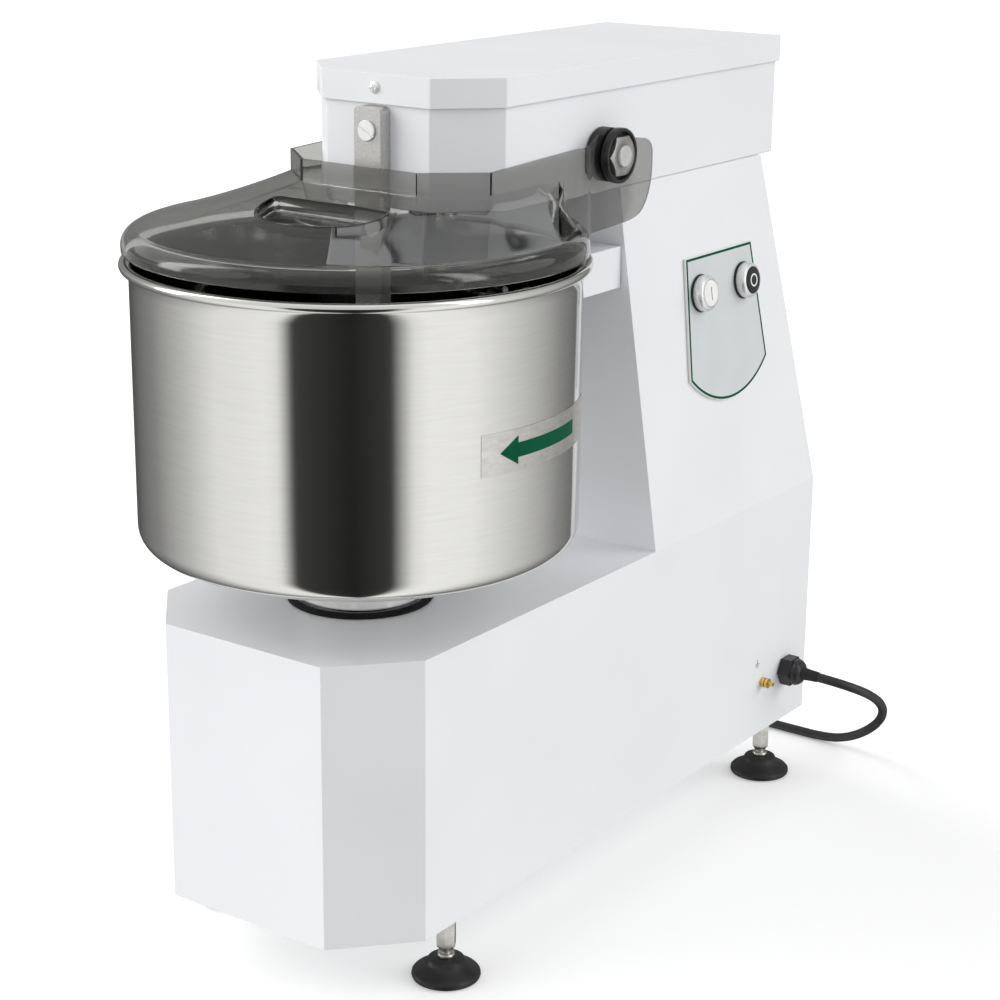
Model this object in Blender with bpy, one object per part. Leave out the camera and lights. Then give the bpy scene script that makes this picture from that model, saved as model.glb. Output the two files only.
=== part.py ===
"""Countertop spiral dough mixer with a fixed head, a turning bowl and a tilting guard.

Frame: metres, +Z up, the bowl end faces -Y and the control side faces +X.
The origin is on the floor, under the middle of the machine.
"""
import math

import bmesh
import bpy
from mathutils import Matrix, Vector

GAP = 0.0003

# Axes of the three vertical shafts, all on x = 0
BOWL_Y = -0.1965
SPIRAL_Y = BOWL_Y + 0.112
DRIVE_Y = BOWL_Y + 0.400

# Sheet housing: low base in front, column behind it
SHEET = 0.0025
BASE_HALF_W = 0.153
BASE_FRONT = -0.3635
BASE_REAR = 0.4085
BASE_CHAMFER = (0.062, 0.068)
BASE_BOTTOM = 0.066
BASE_TOP = 0.3365
COLUMN_FRONT = 0.0804
COLUMN_TOP = 0.697
COLUMN_TOP_HALF_W = 0.1063
COLUMN_TOP_FRONT = 0.069
COLUMN_TOP_REAR = 0.3424

# Head
LID_HALF_W = 0.1093
LID_FRONT = -0.170
LID_REAR = 0.370
LID_CHAMFER = (0.0473, 0.0496)
LID_TOP = 0.8185
LID_SKIRT = 0.0268
LID_SHEET = 0.003
HEAD_INSET = 0.0033

# Bowl
BOWL_R = 0.2035
RIM_R = 0.212
RIM_Z = 0.6555
BOWL_BOTTOM = 0.396
BOWL_WALL = 0.0025
BOWL_CORNER = 0.020

# Guard over the bowl
GUARD_SHEET = 0.003
GUARD_R = 0.2095
GUARD_EDGE_Z = 0.666
GUARD_EDGE_RISE = 0.0025
GUARD_REAR = -0.040
COLLAR_FRONT = -0.1953
COLLAR_FRONT_HALF = 0.0657
COLLAR_HALF_W = 0.1157
COLLAR_CORNER_Y = -0.1515
COLLAR_BOTTOM = 0.7193
COLLAR_TOP = 0.7392
EAR_X = 0.122
EAR_STEP_Y = -0.012
PIVOT_Y = 0.034
PIVOT_Z = 0.734

# Roller chain drives, 3/8 inch pitch
PITCH = 0.009525
BOWL_TEETH = 54
DRIVE_LOW_TEETH = 13
DRIVE_HIGH_TEETH = 30
SPIRAL_TEETH = 16
LOW_CHAIN_Z = 0.205
HIGH_CHAIN_Z = 0.757
SPROCKET_T = 0.007

# Worm gearmotor lying in the base
WORM_X = -0.0615
WORM_Z = 0.122
WHEEL_R = 0.046

# Levelling feet
FOOT_X = 0.133
FOOT_YS = (-0.238, 0.351)
FOOT_R = 0.0325

# Control panel on the leaning right side, centre between the push buttons
PANEL_Y = 0.2395
BUTTON_Z = 0.575
BUTTON_SPACING = 0.085

# Mains cord
CORD_D = 0.0105
GLAND_AT = (0.153, 0.361, 0.125)
COIL_X = -0.075
COIL_MEAN_R = 0.054
COIL_LINE_Y = 0.470
CORD_ROUTE = [
    (0.1786, 0.361, 0.125),
    (0.190, 0.361, 0.1249),
    (0.203, 0.3625, 0.124),
    (0.218, 0.3675, 0.121),
    (0.231, 0.377, 0.1155),
    (0.241, 0.391, 0.107),
    (0.246, 0.408, 0.095),
    (0.245, 0.425, 0.0805),
    (0.238, 0.441, 0.064),
    (0.226, 0.454, 0.047),
    (0.209, 0.463, 0.0305),
    (0.189, 0.468, 0.017),
    (0.167, 0.470, 0.0086),
    (0.143, 0.4703, 0.0056),
    (0.118, 0.470, 0.0054),
    (0.080, 0.470, 0.0054),
    (0.040, 0.470, 0.0054),
    (0.000, 0.470, 0.0054),
    (-0.039, 0.470, 0.0054),
]


# ---------------------------------------------------------------- helpers

def clear_scene():
    for obj in list(bpy.data.objects):
        bpy.data.objects.remove(obj, do_unlink=True)


def material(name, colour, roughness, metallic=0.0):
    mat = bpy.data.materials.new(name)
    mat.use_nodes = True
    shader = mat.node_tree.nodes["Principled BSDF"]
    shader.inputs["Base Color"].default_value = (*colour, 1.0)
    shader.inputs["Roughness"].default_value = roughness
    shader.inputs["Metallic"].default_value = metallic
    return mat


def finish_object(name, bm, mat, at=(0, 0, 0), turn=None):
    """Object from a bmesh, its origin at `at`, its local axes turned by `turn`."""
    bmesh.ops.recalc_face_normals(bm, faces=bm.faces)
    mesh = bpy.data.meshes.new(name)
    bm.to_mesh(mesh)
    bm.free()
    mesh.shade_smooth()
    mesh.set_sharp_from_angle(angle=math.radians(35))
    obj = bpy.data.objects.new(name, mesh)
    bpy.context.scene.collection.objects.link(obj)
    matrix = turn.to_4x4() if turn is not None else Matrix.Identity(4)
    obj.matrix_world = Matrix.Translation(at) @ matrix
    if mat:
        mesh.materials.append(mat)
    return obj


def loft(rings, closed=False):
    """Skin of equal-length rings of points; the ends are capped unless closed."""
    bm = bmesh.new()
    rows = [[bm.verts.new(p) for p in ring] for ring in rings]
    count = len(rows[0])
    pairs = list(zip(rows, rows[1:]))
    if closed:
        pairs.append((rows[-1], rows[0]))
    for low, high in pairs:
        for i in range(count):
            j = (i + 1) % count
            bm.faces.new((low[i], low[j], high[j], high[i]))
    if not closed:
        bm.faces.new(rows[0])
        bm.faces.new(rows[-1])
    return bm


def prism(outline, low, high):
    """Straight prism over an outline in local X and Y."""
    return loft([[(x, y, low) for x, y in outline], [(x, y, high) for x, y in outline]])


def block(low, high):
    (x0, y0, z0), (x1, y1, z1) = low, high
    return prism([(x0, y0), (x1, y0), (x1, y1), (x0, y1)], z0, z1)


def turned(profile, segments=32):
    """Profile of (radius, height) turned about local Z; it may start and end on the axis."""
    bm = bmesh.new()
    rows = []
    for radius, height in profile:
        if radius < 1e-7:
            rows.append([bm.verts.new((0, 0, height))])
            continue
        angles = [math.tau * k / segments for k in range(segments)]
        rows.append([bm.verts.new((radius * math.cos(a), radius * math.sin(a), height)) for a in angles])
    on_axis = len(rows[0]) == 1
    pairs = list(zip(rows, rows[1:]))
    if not on_axis:
        pairs.append((rows[-1], rows[0]))
    for low, high in pairs:
        for k in range(segments):
            n = (k + 1) % segments
            corners = [low[k % len(low)], low[n % len(low)], high[n % len(high)], high[k % len(high)]]
            unique = list(dict.fromkeys(corners))
            if len(unique) > 2:
                bm.faces.new(unique)
    return bm


def ring_profile(inner, outer, low, high):
    return [(inner, low), (outer, low), (outer, high), (inner, high)]


def disc_profile(radius, low, high):
    return [(0, low), (radius, low), (radius, high), (0, high)]


def polygon(sides, flat_radius, turn=0.0):
    """Corners of a regular polygon whose flats are at flat_radius."""
    corner = flat_radius / math.cos(math.pi / sides)
    angles = [turn + math.tau * (k + 0.5) / sides for k in range(sides)]
    return [(corner * math.cos(a), corner * math.sin(a)) for a in angles]


def boolean(obj, cutter, operation="DIFFERENCE"):
    """Cuts or joins with a cutter, which the build leaves out."""
    mod = obj.modifiers.new(operation.title(), "BOOLEAN")
    mod.object = cutter
    mod.operation = operation
    mod.solver = "EXACT"
    cutter.hide_render = True
    cutter.display_type = "WIRE"
    return obj


def arc(centre, radius, start, end, count):
    """Points of an arc between two angles in degrees, both ends included."""
    steps = [math.radians(start + (end - start) * k / (count - 1)) for k in range(count)]
    return [(centre[0] + radius * math.cos(a), centre[1] + radius * math.sin(a)) for a in steps]


def along(direction):
    """Rotation whose local Z points along a direction."""
    return Vector(direction).to_track_quat("Z", "Y").to_matrix()


def smooth_line(points, spacing):
    """Points evenly spaced along a Catmull-Rom curve through a route."""
    pts = [Vector(p) for p in points]
    pts = [2 * pts[0] - pts[1], *pts, 2 * pts[-1] - pts[-2]]
    fine = []
    for a, b, c, d in zip(pts, pts[1:], pts[2:], pts[3:]):
        for k in range(20):
            t = k / 20
            fine.append(0.5 * (2 * b + (c - a) * t + (2 * a - 5 * b + 4 * c - d) * t * t
                               + (3 * b - a - 3 * c + d) * t ** 3))
    fine.append(pts[-2])
    total = sum((q - p).length for p, q in zip(fine, fine[1:]))
    count = round(total / spacing)
    result, walked, target = [fine[0]], 0.0, total / count
    for p, q in zip(fine, fine[1:]):
        step = (q - p).length
        while walked + step >= target - 1e-9 and len(result) < count:
            result.append(p.lerp(q, (target - walked) / step))
            target += total / count
        walked += step
    return result + [fine[-1]]


# ---------------------------------------------------------------- outlines

def chamfered(half_w, front, rear, chamfer):
    """Plan with its two front corners cut off, counter-clockwise from the rear left."""
    cx, cy = chamfer
    return [(-half_w, rear), (-half_w, front + cy), (-half_w + cx, front),
            (half_w - cx, front), (half_w, front + cy), (half_w, rear)]


def column_half_width(z):
    """Half width of the housing at a height: upright sides below, leaning in above."""
    up = max(0.0, (z - BASE_TOP) / (COLUMN_TOP - BASE_TOP))
    return BASE_HALF_W + (COLUMN_TOP_HALF_W - BASE_HALF_W) * up


def column_rear(z):
    up = max(0.0, (z - BASE_TOP) / (COLUMN_TOP - BASE_TOP))
    return BASE_REAR + (COLUMN_TOP_REAR - BASE_REAR) * up


def column_front(z):
    up = (z - BASE_TOP) / (COLUMN_TOP - BASE_TOP)
    return COLUMN_FRONT + (COLUMN_TOP_FRONT - COLUMN_FRONT) * up


def housing_solid(inset, open_by):
    """Base and column as one solid; the inner one is inset and runs out of the open sides."""
    w, wt = BASE_HALF_W - inset, COLUMN_TOP_HALF_W - inset
    front, rear = BASE_FRONT + inset, BASE_REAR + open_by
    z0, z1, z2 = BASE_BOTTOM - open_by, BASE_TOP - inset, COLUMN_TOP + open_by
    yf, yft, yrt = COLUMN_FRONT + inset, COLUMN_TOP_FRONT + inset, COLUMN_TOP_REAR + open_by
    cut = (BASE_CHAMFER[0] - 0.41 * inset, BASE_CHAMFER[1] - 0.41 * inset)
    bm = bmesh.new()
    plan = chamfered(w, front, rear, cut)
    low = [bm.verts.new((x, y, z0)) for x, y in plan]
    mid = [bm.verts.new((x, y, z1)) for x, y in plan]
    fold = [bm.verts.new((s * w, yf, z1)) for s in (-1, 1)]
    top = [bm.verts.new((x, y, z2)) for x, y in ((-wt, yrt), (-wt, yft), (wt, yft), (wt, yrt))]
    bm.faces.new(low)
    for i in (1, 2, 3):
        bm.faces.new((low[i], low[i + 1], mid[i + 1], mid[i]))
    bm.faces.new((low[0], low[1], mid[1], fold[0], mid[0]))
    bm.faces.new((low[4], low[5], mid[5], fold[1], mid[4]))
    bm.faces.new((low[5], low[0], mid[0], mid[5]))
    bm.faces.new((mid[1], mid[2], mid[3], mid[4], fold[1], fold[0]))
    bm.faces.new((mid[0], fold[0], top[1], top[0]))
    bm.faces.new((fold[1], mid[5], top[3], top[2]))
    bm.faces.new((fold[0], fold[1], top[2], top[1]))
    bm.faces.new((mid[5], mid[0], top[0], top[3]))
    bm.faces.new(top)
    return bm


# ---------------------------------------------------------------- housing

def panel_frame():
    """Axes of the leaning right side: rearwards, up the sheet, outwards."""
    up = Vector((COLUMN_TOP_HALF_W - BASE_HALF_W, 0, COLUMN_TOP - BASE_TOP)).normalized()
    back = Vector((0, 1, 0))
    return Matrix((back, up, back.cross(up))).transposed()


def on_panel(y, z):
    return Vector((column_half_width(z), y, z))


def button_places():
    for side in (-0.5, 0.5):
        yield on_panel(PANEL_Y + side * BUTTON_SPACING, BUTTON_Z)


def make_housing(white):
    shell = finish_object("body_shell", housing_solid(0, 0), white)
    boolean(shell, finish_object("shell_inside", housing_solid(SHEET, 0.02), None))
    hub_hole = turned(disc_profile(0.048, BASE_TOP - 0.01, BASE_TOP + 0.01))
    boolean(shell, finish_object("hub_hole", hub_hole, None, (0, BOWL_Y, 0)))
    for place in button_places():
        hole = turned(disc_profile(0.0096, -0.012, 0.012), 24)
        boolean(shell, finish_object("button_hole", hole, None, place, panel_frame()))

    inset = SHEET + GAP
    plan = chamfered(BASE_HALF_W - inset, BASE_FRONT + inset, 0.4058,
                     (BASE_CHAMFER[0] - 0.41 * inset, BASE_CHAMFER[1] - 0.41 * inset))
    plate = finish_object("bottom_plate", prism(plan, 0.0663, 0.0693), white)
    for x, y in foot_places():
        hole = turned(disc_profile(0.0063, 0.06, 0.08), 16)
        boolean(plate, finish_object("stud_hole", hole, None, (x, y, 0)))

    rings = []
    for z in (0.0663, BASE_TOP, COLUMN_TOP - GAP):
        w = column_half_width(z) - SHEET - 2 * GAP
        y = column_rear(z) - GAP
        rings.append([(-w, y - 0.002, z), (w, y - 0.002, z), (w, y, z), (-w, y, z)])
    finish_object("rear_panel", loft(rings), white)


def make_rear_shield(white):
    """Folded sheet box on the column's front, hollowed to clear the bowl."""
    low, high = 0.600, 0.641
    plan = [(-0.110, column_front(low) - GAP - 0.0012), (-0.110, 0.005), (0.110, 0.005),
            (0.110, column_front(low) - GAP - 0.0012)]
    shield = finish_object("rear_shield", prism(plan, low, high), white)
    clear = turned(disc_profile(0.218, low - 0.01, high + 0.01), 64)
    boolean(shield, finish_object("bowl_clearance", clear, None, (0, BOWL_Y, 0)))


def make_head(white, steel):
    half, front, rear = LID_HALF_W - HEAD_INSET, LID_FRONT + HEAD_INSET, LID_REAR - HEAD_INSET
    box = finish_object("head_box", prism(chamfered(half, front, rear, LID_CHAMFER),
                                          COLUMN_TOP + GAP, LID_TOP - LID_SHEET - GAP), white)
    inner = chamfered(half - SHEET, front + SHEET, rear - SHEET,
                      (LID_CHAMFER[0] - 0.41 * SHEET, LID_CHAMFER[1] - 0.41 * SHEET))
    boolean(box, finish_object("head_inside", prism(inner, COLUMN_TOP + GAP + SHEET, LID_TOP + 0.02), None))
    for y, radius in ((SPIRAL_Y, 0.024), (DRIVE_Y, 0.030)):
        hole = turned(disc_profile(radius, COLUMN_TOP - 0.01, COLUMN_TOP + 0.01))
        boolean(box, finish_object("shaft_hole", hole, None, (0, y, 0)))
    bolts = turned(disc_profile(0.0106, -0.15, 0.15), 24)
    boolean(box, finish_object("pivot_holes", bolts, None, (0, PIVOT_Y, PIVOT_Z), along((1, 0, 0))))

    lid = finish_object("head_lid", prism(chamfered(LID_HALF_W, LID_FRONT, LID_REAR, LID_CHAMFER),
                                          LID_TOP - LID_SKIRT, LID_TOP), white)
    gap = LID_SHEET - GAP
    inner = chamfered(LID_HALF_W - gap, LID_FRONT + gap, LID_REAR - gap,
                      (LID_CHAMFER[0] - 0.41 * gap, LID_CHAMFER[1] - 0.41 * gap))
    boolean(lid, finish_object("lid_inside", prism(inner, LID_TOP - 0.06, LID_TOP - LID_SHEET), None))
    screw = turned([(0, GAP), (0.0055, GAP), (0.0052, 0.0014), (0.003, 0.0026), (0, 0.003)], 16)
    finish_object("lid_screw", screw, steel, (0, LID_FRONT, 0.8063), along((0, -1, 0)))


def make_breaker_bar(steel):
    """Fixed dough breaker: a flat bar bolted to the head's nose and reaching into the bowl."""
    head_face = LID_FRONT + HEAD_INSET
    top, bottom, half, front = 0.790, 0.405, 0.015, -0.1812
    side = [(-half, bottom + 0.006), (-half + 0.006, bottom), (half - 0.006, bottom), (half, bottom + 0.006)]
    side += arc((half - 0.005, top - 0.005), 0.005, 0, 90, 5)
    side += arc((-half + 0.005, top - 0.005), 0.005, 90, 180, 5)
    turn = Matrix(((1, 0, 0), (0, 0, -1), (0, 1, 0)))
    bar = finish_object("breaker_bar", prism(side, -(head_face - GAP), -front), steel, turn=turn)
    screw = turned([(0, GAP), (0.0095, GAP), (0.0095, 0.0015), (0.0088, 0.0024), (0, 0.0024)], 24)
    head = finish_object("breaker_screw", screw, steel, (0, front, 0.769), along((0, -1, 0)))
    slot = block((-0.001, -0.02, 0.0012), (0.001, 0.02, 0.01))
    turn = Matrix.Rotation(math.radians(60), 3, "Z")
    boolean(head, finish_object("screw_slot", slot, None, (0, front, 0.769), along((0, -1, 0)) @ turn))


# ---------------------------------------------------------------- bowl and tool

def bowl_profile():
    inside = BOWL_R - BOWL_WALL
    rim = (RIM_R - 0.0045, RIM_Z)
    outer = [(0, BOWL_BOTTOM)] + arc((BOWL_R - BOWL_CORNER, BOWL_BOTTOM + BOWL_CORNER), BOWL_CORNER, -90, 0, 6)
    bead = arc(rim, 0.0045, -150, 120, 8)
    lip = [(inside, RIM_Z - 0.001)]
    floor = arc((BOWL_R - BOWL_CORNER, BOWL_BOTTOM + BOWL_CORNER), BOWL_CORNER - BOWL_WALL, 0, -90, 6)
    return outer + bead + lip + floor + [(0, BOWL_BOTTOM + BOWL_WALL)]


def make_bowl(steel, rubber):
    place = (0, BOWL_Y, 0)
    finish_object("bowl", turned(bowl_profile(), 48), steel, place)
    hub = [(0, 0.385), (0.0178, 0.385), (0.0178, 0.342), (0.057, 0.342), (0.057, 0.3955), (0, 0.3955)]
    finish_object("bowl_hub", turned(hub, 40), steel, place)
    finish_object("bowl_shaft", turned(disc_profile(0.0175, 0.195, 0.3847), 24), steel, place)
    ring = [(0.0585, BASE_TOP + GAP), (0.0685, BASE_TOP + GAP), (0.067, BASE_TOP + 0.003),
            (0.0585, BASE_TOP + 0.0045)]
    finish_object("seal_ring", turned(ring, 40), rubber, place)


def make_bowl_bearings(iron, steel):
    place = (0, BOWL_Y, 0)
    top = BASE_TOP - SHEET - GAP
    housing = [(0.0363, 0.235), (0.044, 0.235), (0.044, 0.326), (0.080, 0.326), (0.080, top), (0.0363, top),
               (0.0363, 0.300), (0.031, 0.300), (0.031, 0.268), (0.0363, 0.268)]
    finish_object("bowl_bearing_housing", turned(housing), iron, place)
    for name, z in (("bowl_bearing_lower", 0.2505), ("bowl_bearing_upper", 0.3003)):
        finish_object(name, turned(ring_profile(0.0178, 0.036, z, z + 0.017), 24), steel, place)


def spiral_path():
    """Round bar that leaves the axis under the collar and winds down beside the bowl wall."""
    top, bottom, radius, turns = 0.640, 0.4125, 0.070, 1.25
    points = []
    for k in range(9):
        t = k / 8
        ease = t * t * (3 - 2 * t)
        angle = math.tau * 0.18 * t
        points.append((radius * ease * math.cos(angle), radius * ease * math.sin(angle), top - 0.045 * t))
    for k in range(1, 31):
        t = k / 30
        angle = math.tau * (0.18 + turns * t)
        height = top - 0.045 + (bottom - top + 0.045) * (t * (1.6 - 0.6 * t))
        points.append((radius * math.cos(angle), radius * math.sin(angle), height))
    return points


def make_spiral(steel):
    place = (0, SPIRAL_Y, 0)
    curve = bpy.data.curves.new("spiral_bar", "CURVE")
    curve.dimensions = "3D"
    curve.bevel_depth = 0.010
    curve.bevel_resolution = 2
    curve.use_fill_caps = True
    spline = curve.splines.new("POLY")
    route = spiral_path()
    spline.points.add(len(route) - 1)
    for point, where in zip(spline.points, route):
        point.co = (*where, 1)
    bar = bpy.data.objects.new("spiral_bar", curve)
    bpy.context.scene.collection.objects.link(bar)
    bpy.context.view_layer.update()
    mesh = bpy.data.meshes.new_from_object(bar.evaluated_get(bpy.context.evaluated_depsgraph_get()))
    bpy.data.objects.remove(bar)
    bm = bmesh.new()
    bm.from_mesh(mesh)
    bmesh.ops.remove_doubles(bm, verts=bm.verts, dist=1e-6)
    hook = finish_object("spiral_hook", bm, steel, place)
    collar = finish_object("hook_collar", turned(disc_profile(0.0225, 0.628, 0.690)), None, place)
    boolean(hook, collar, "UNION")
    finish_object("spiral_shaft", turned(disc_profile(0.015, 0.6903, 0.776), 24), steel, place)


def make_spiral_bearings(iron, steel):
    place = (0, SPIRAL_Y, 0)
    z = COLUMN_TOP + GAP + SHEET + GAP
    housing = [(0.0313, z), (0.055, z), (0.055, z + 0.008), (0.038, z + 0.008), (0.038, 0.753), (0.0313, 0.753),
               (0.0313, 0.735), (0.0203, 0.735), (0.0203, 0.7183), (0.0313, 0.7183)]
    finish_object("spiral_bearing_housing", turned(housing), iron, place)
    race = [(0.0153, 0.702), (0.031, 0.702), (0.031, 0.718), (0.020, 0.718), (0.020, 0.7353), (0.031, 0.7353),
            (0.031, 0.7513), (0.0153, 0.7513)]
    finish_object("spiral_bearings", turned(race, 24), steel, place)


# ---------------------------------------------------------------- drive

def pitch_radius(teeth):
    return PITCH / (2 * math.sin(math.pi / teeth))


def sprocket(teeth, bore):
    """Flat chain wheel: straight-sided teeth round a plate with a bore."""
    pitch_r = pitch_radius(teeth)
    root, tip = pitch_r - 0.0032, pitch_r + 0.003
    outline = []
    for k in range(teeth):
        for radius, part in ((root, -0.30), (tip, -0.10), (tip, 0.10), (root, 0.30)):
            angle = math.tau * (k + part) / teeth
            outline.append((radius * math.cos(angle), radius * math.sin(angle)))
    wheel = prism(outline, 0, SPROCKET_T)
    hole = turned(disc_profile(bore, -0.01, SPROCKET_T + 0.01), 24)
    return wheel, hole


def make_sprocket(name, teeth, bore, y, z, mat):
    wheel, hole = sprocket(teeth, bore)
    obj = finish_object(name, wheel, mat, (0, y, z))
    boolean(obj, finish_object(name + "_bore", hole, None, (0, y, z)))


def chain_loop(far_r, near_r, far_y, near_y):
    """Open-belt outline round two circles on the Y axis, near one towards +Y."""
    wrap = math.degrees(math.acos((far_r - near_r) / (near_y - far_y)))
    far = arc((0, far_y), far_r, 90 + wrap, 450 - wrap, 36)
    near = arc((0, near_y), near_r, 90 - wrap, 90 + wrap, 20)
    return far + near


def make_chain(name, teeth_far, teeth_near, y_far, y_near, z, mat):
    """Chain as a plain closed loop that rides just clear of the tooth tips."""
    loops = []
    for offset, height in ((0.0034, 0.0005), (0.0094, 0.0005), (0.0094, 0.0065), (0.0034, 0.0065)):
        plan = chain_loop(pitch_radius(teeth_far) + offset, pitch_radius(teeth_near) + offset, y_far, y_near)
        loops.append([(x, y, z + height) for x, y in plan])
    finish_object(name, loft(loops, closed=True), mat)


def make_drive(steel, iron, dark):
    place = (0, DRIVE_Y, 0)
    finish_object("drive_shaft", turned(disc_profile(0.0125, 0.0835, 0.776), 24), steel, place)
    make_sprocket("bowl_sprocket", BOWL_TEETH, 0.0178, BOWL_Y, LOW_CHAIN_Z, dark)
    make_sprocket("drive_sprocket_lower", DRIVE_LOW_TEETH, 0.0128, DRIVE_Y, LOW_CHAIN_Z, dark)
    make_sprocket("drive_sprocket_upper", DRIVE_HIGH_TEETH, 0.0128, DRIVE_Y, HIGH_CHAIN_Z, dark)
    make_sprocket("spiral_sprocket", SPIRAL_TEETH, 0.0153, SPIRAL_Y, HIGH_CHAIN_Z, dark)
    make_chain("bowl_chain", BOWL_TEETH, DRIVE_LOW_TEETH, BOWL_Y, DRIVE_Y, LOW_CHAIN_Z, dark)
    make_chain("spiral_chain", SPIRAL_TEETH, DRIVE_HIGH_TEETH, SPIRAL_Y, DRIVE_Y, HIGH_CHAIN_Z, dark)

    z = COLUMN_TOP + GAP + SHEET + GAP
    flange = [(0.0128, z), (0.045, z), (0.045, 0.707), (0.030, 0.707), (0.030, 0.722), (0.0128, 0.722)]
    finish_object("drive_bearing", turned(flange), iron, place)


def make_gearmotor(alloy, steel, bronze):
    low, high = 0.0696, 0.168
    casing = block((-0.115, DRIVE_Y - 0.062, low), (0.062, DRIVE_Y + 0.062, high))
    casing = finish_object("gearbox_casing", casing, alloy)
    inside = block((-0.109, DRIVE_Y - 0.056, low + 0.006), (0.056, DRIVE_Y + 0.056, high - 0.006))
    boolean(casing, finish_object("gearbox_inside", inside, None))
    bore = turned(disc_profile(0.0128, 0.1, 0.2), 24)
    boolean(casing, finish_object("output_bore", bore, None, (0, DRIVE_Y, 0)))
    bore = turned(disc_profile(0.009, -0.1, 0.1), 24)
    boolean(casing, finish_object("input_bore", bore, None, (WORM_X, DRIVE_Y, WORM_Z), along((0, 1, 0))))

    wheel = []
    for k in range(30):
        chamfer = WHEEL_R - 0.004
        for radius, part in ((chamfer, -0.32), (WHEEL_R, -0.14), (WHEEL_R, 0.14), (chamfer, 0.32)):
            angle = math.tau * (k + part) / 30
            wheel.append((radius * math.cos(angle), radius * math.sin(angle)))
    obj = finish_object("worm_wheel", prism(wheel, WORM_Z - 0.010, WORM_Z + 0.010), bronze, (0, DRIVE_Y, 0))
    hole = turned(disc_profile(0.0128, 0.08, 0.16), 24)
    boolean(obj, finish_object("wheel_bore", hole, None, (0, DRIVE_Y, 0)))

    # Worm, shaft and rotor are one turned piece about +Y, measured from the axis' own origin
    origin, turn = (WORM_X, 0, WORM_Z), along((0, 1, 0))
    rotor = [(0, -0.020), (0.007, -0.020), (0.007, 0.015), (0.036, 0.015), (0.036, 0.100), (0.007, 0.100)]
    rotor += [(0.007, DRIVE_Y - 0.036)]
    for k in range(7):
        y = DRIVE_Y - 0.035 + 0.010 * k
        rotor += [(0.0105, y), (0.0140, y + 0.003), (0.0140, y + 0.006), (0.0105, y + 0.009)]
    rotor += [(0.007, DRIVE_Y + 0.035), (0.007, DRIVE_Y + 0.059), (0, DRIVE_Y + 0.059)]
    finish_object("motor_rotor", turned(rotor, 24), steel, origin, turn)
    face = DRIVE_Y - 0.062 - GAP
    body = [(0.0085, -0.018), (0.052, -0.018), (0.052, face), (0.0085, face), (0.0085, face - 0.008),
            (0.046, face - 0.008), (0.046, -0.011), (0.0085, -0.011)]
    finish_object("motor_casing", turned(body), alloy, origin, turn)


# ---------------------------------------------------------------- guard

def guard_rows():
    """Rings of the guard's skin from the lower edge up to the collar, right rear to left rear."""
    local_rear = GUARD_REAR - BOWL_Y
    open_angle = math.degrees(math.asin(local_rear / GUARD_R))
    collar = [(COLLAR_HALF_W, local_rear), (COLLAR_HALF_W, COLLAR_CORNER_Y - BOWL_Y),
              (COLLAR_FRONT_HALF, COLLAR_FRONT - BOWL_Y)]
    collar += [(-x, y) for x, y in reversed(collar)]
    angles = [open_angle, -8, -52, -128, -172, -180 - open_angle]
    counts = [8, 6, 10, 6, 8]
    samples = []
    for i, count in enumerate(counts):
        for k in range(count + (i == len(counts) - 1)):
            t = k / count
            turn = math.radians(angles[i] + (angles[i + 1] - angles[i]) * t)
            inner = Vector(collar[i]).lerp(Vector(collar[i + 1]), t)
            samples.append((Vector((math.cos(turn), math.sin(turn))), inner))
    wall = [(0.2095, GUARD_EDGE_Z), (0.2090, 0.6725), (0.2070, 0.6790), (0.2025, 0.6845), (0.1950, 0.6885)]
    rows = []
    for radius, z in wall:
        lift = GUARD_EDGE_RISE * (0.6885 - z) / (0.6885 - GUARD_EDGE_Z)
        rows.append([(*(out * radius), z + lift * max(0.0, 0.3 - 0.7 * out.y)) for out, _ in samples])
    for t, z in ((0.30, 0.6965), (0.60, 0.7055), (0.85, 0.7140), (1.0, COLLAR_BOTTOM)):
        rows.append([(*(out * 0.1950).lerp(inner, t), z) for out, inner in samples])
    rows.append([(*inner, COLLAR_TOP) for _, inner in samples])
    return rows


def guard_skin():
    """The moulded sheet: the rows thickened inwards, closed all round."""
    rows = guard_rows()
    bm = bmesh.new()
    grid = [[bm.verts.new(p) for p in row] for row in rows]
    for low, high in zip(grid, grid[1:]):
        for i in range(len(low) - 1):
            bm.faces.new((low[i], low[i + 1], high[i + 1], high[i]))
    bmesh.ops.recalc_face_normals(bm, faces=bm.faces)
    bm.normal_update()
    if sum(face.normal.z for face in bm.faces) < 0:
        bmesh.ops.reverse_faces(bm, faces=bm.faces)
        bm.normal_update()
    outer = {v: v.co.copy() for v in bm.verts}
    normals = {v: v.normal.copy() for v in bm.verts}
    edges = [e for e in bm.edges if e.is_boundary]
    faces = list(bm.faces)
    twin = {v: bm.verts.new(outer[v] - normals[v] * GUARD_SHEET) for v in outer}
    for face in faces:
        bm.faces.new([twin[v] for v in reversed(face.verts)])
    for edge in edges:
        a, b = edge.verts
        bm.faces.new((a, b, twin[b], twin[a]))
    return bm


def ear_plan(side):
    """Side sheet in plan: along the collar, a step outwards, then the ear past the pivot."""
    half = GUARD_SHEET / 2
    inner_x, ear_x = COLLAR_HALF_W - half, EAR_X
    line = [(inner_x, COLLAR_CORNER_Y + 0.004), (inner_x, EAR_STEP_Y - 0.003), (ear_x, EAR_STEP_Y + 0.003),
            (ear_x, 0.110)]
    left = [(x - half, y) for x, y in line]
    right = [(x + half, y) for x, y in line]
    return [(side * x, y) for x, y in left + right[::-1]]


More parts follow.
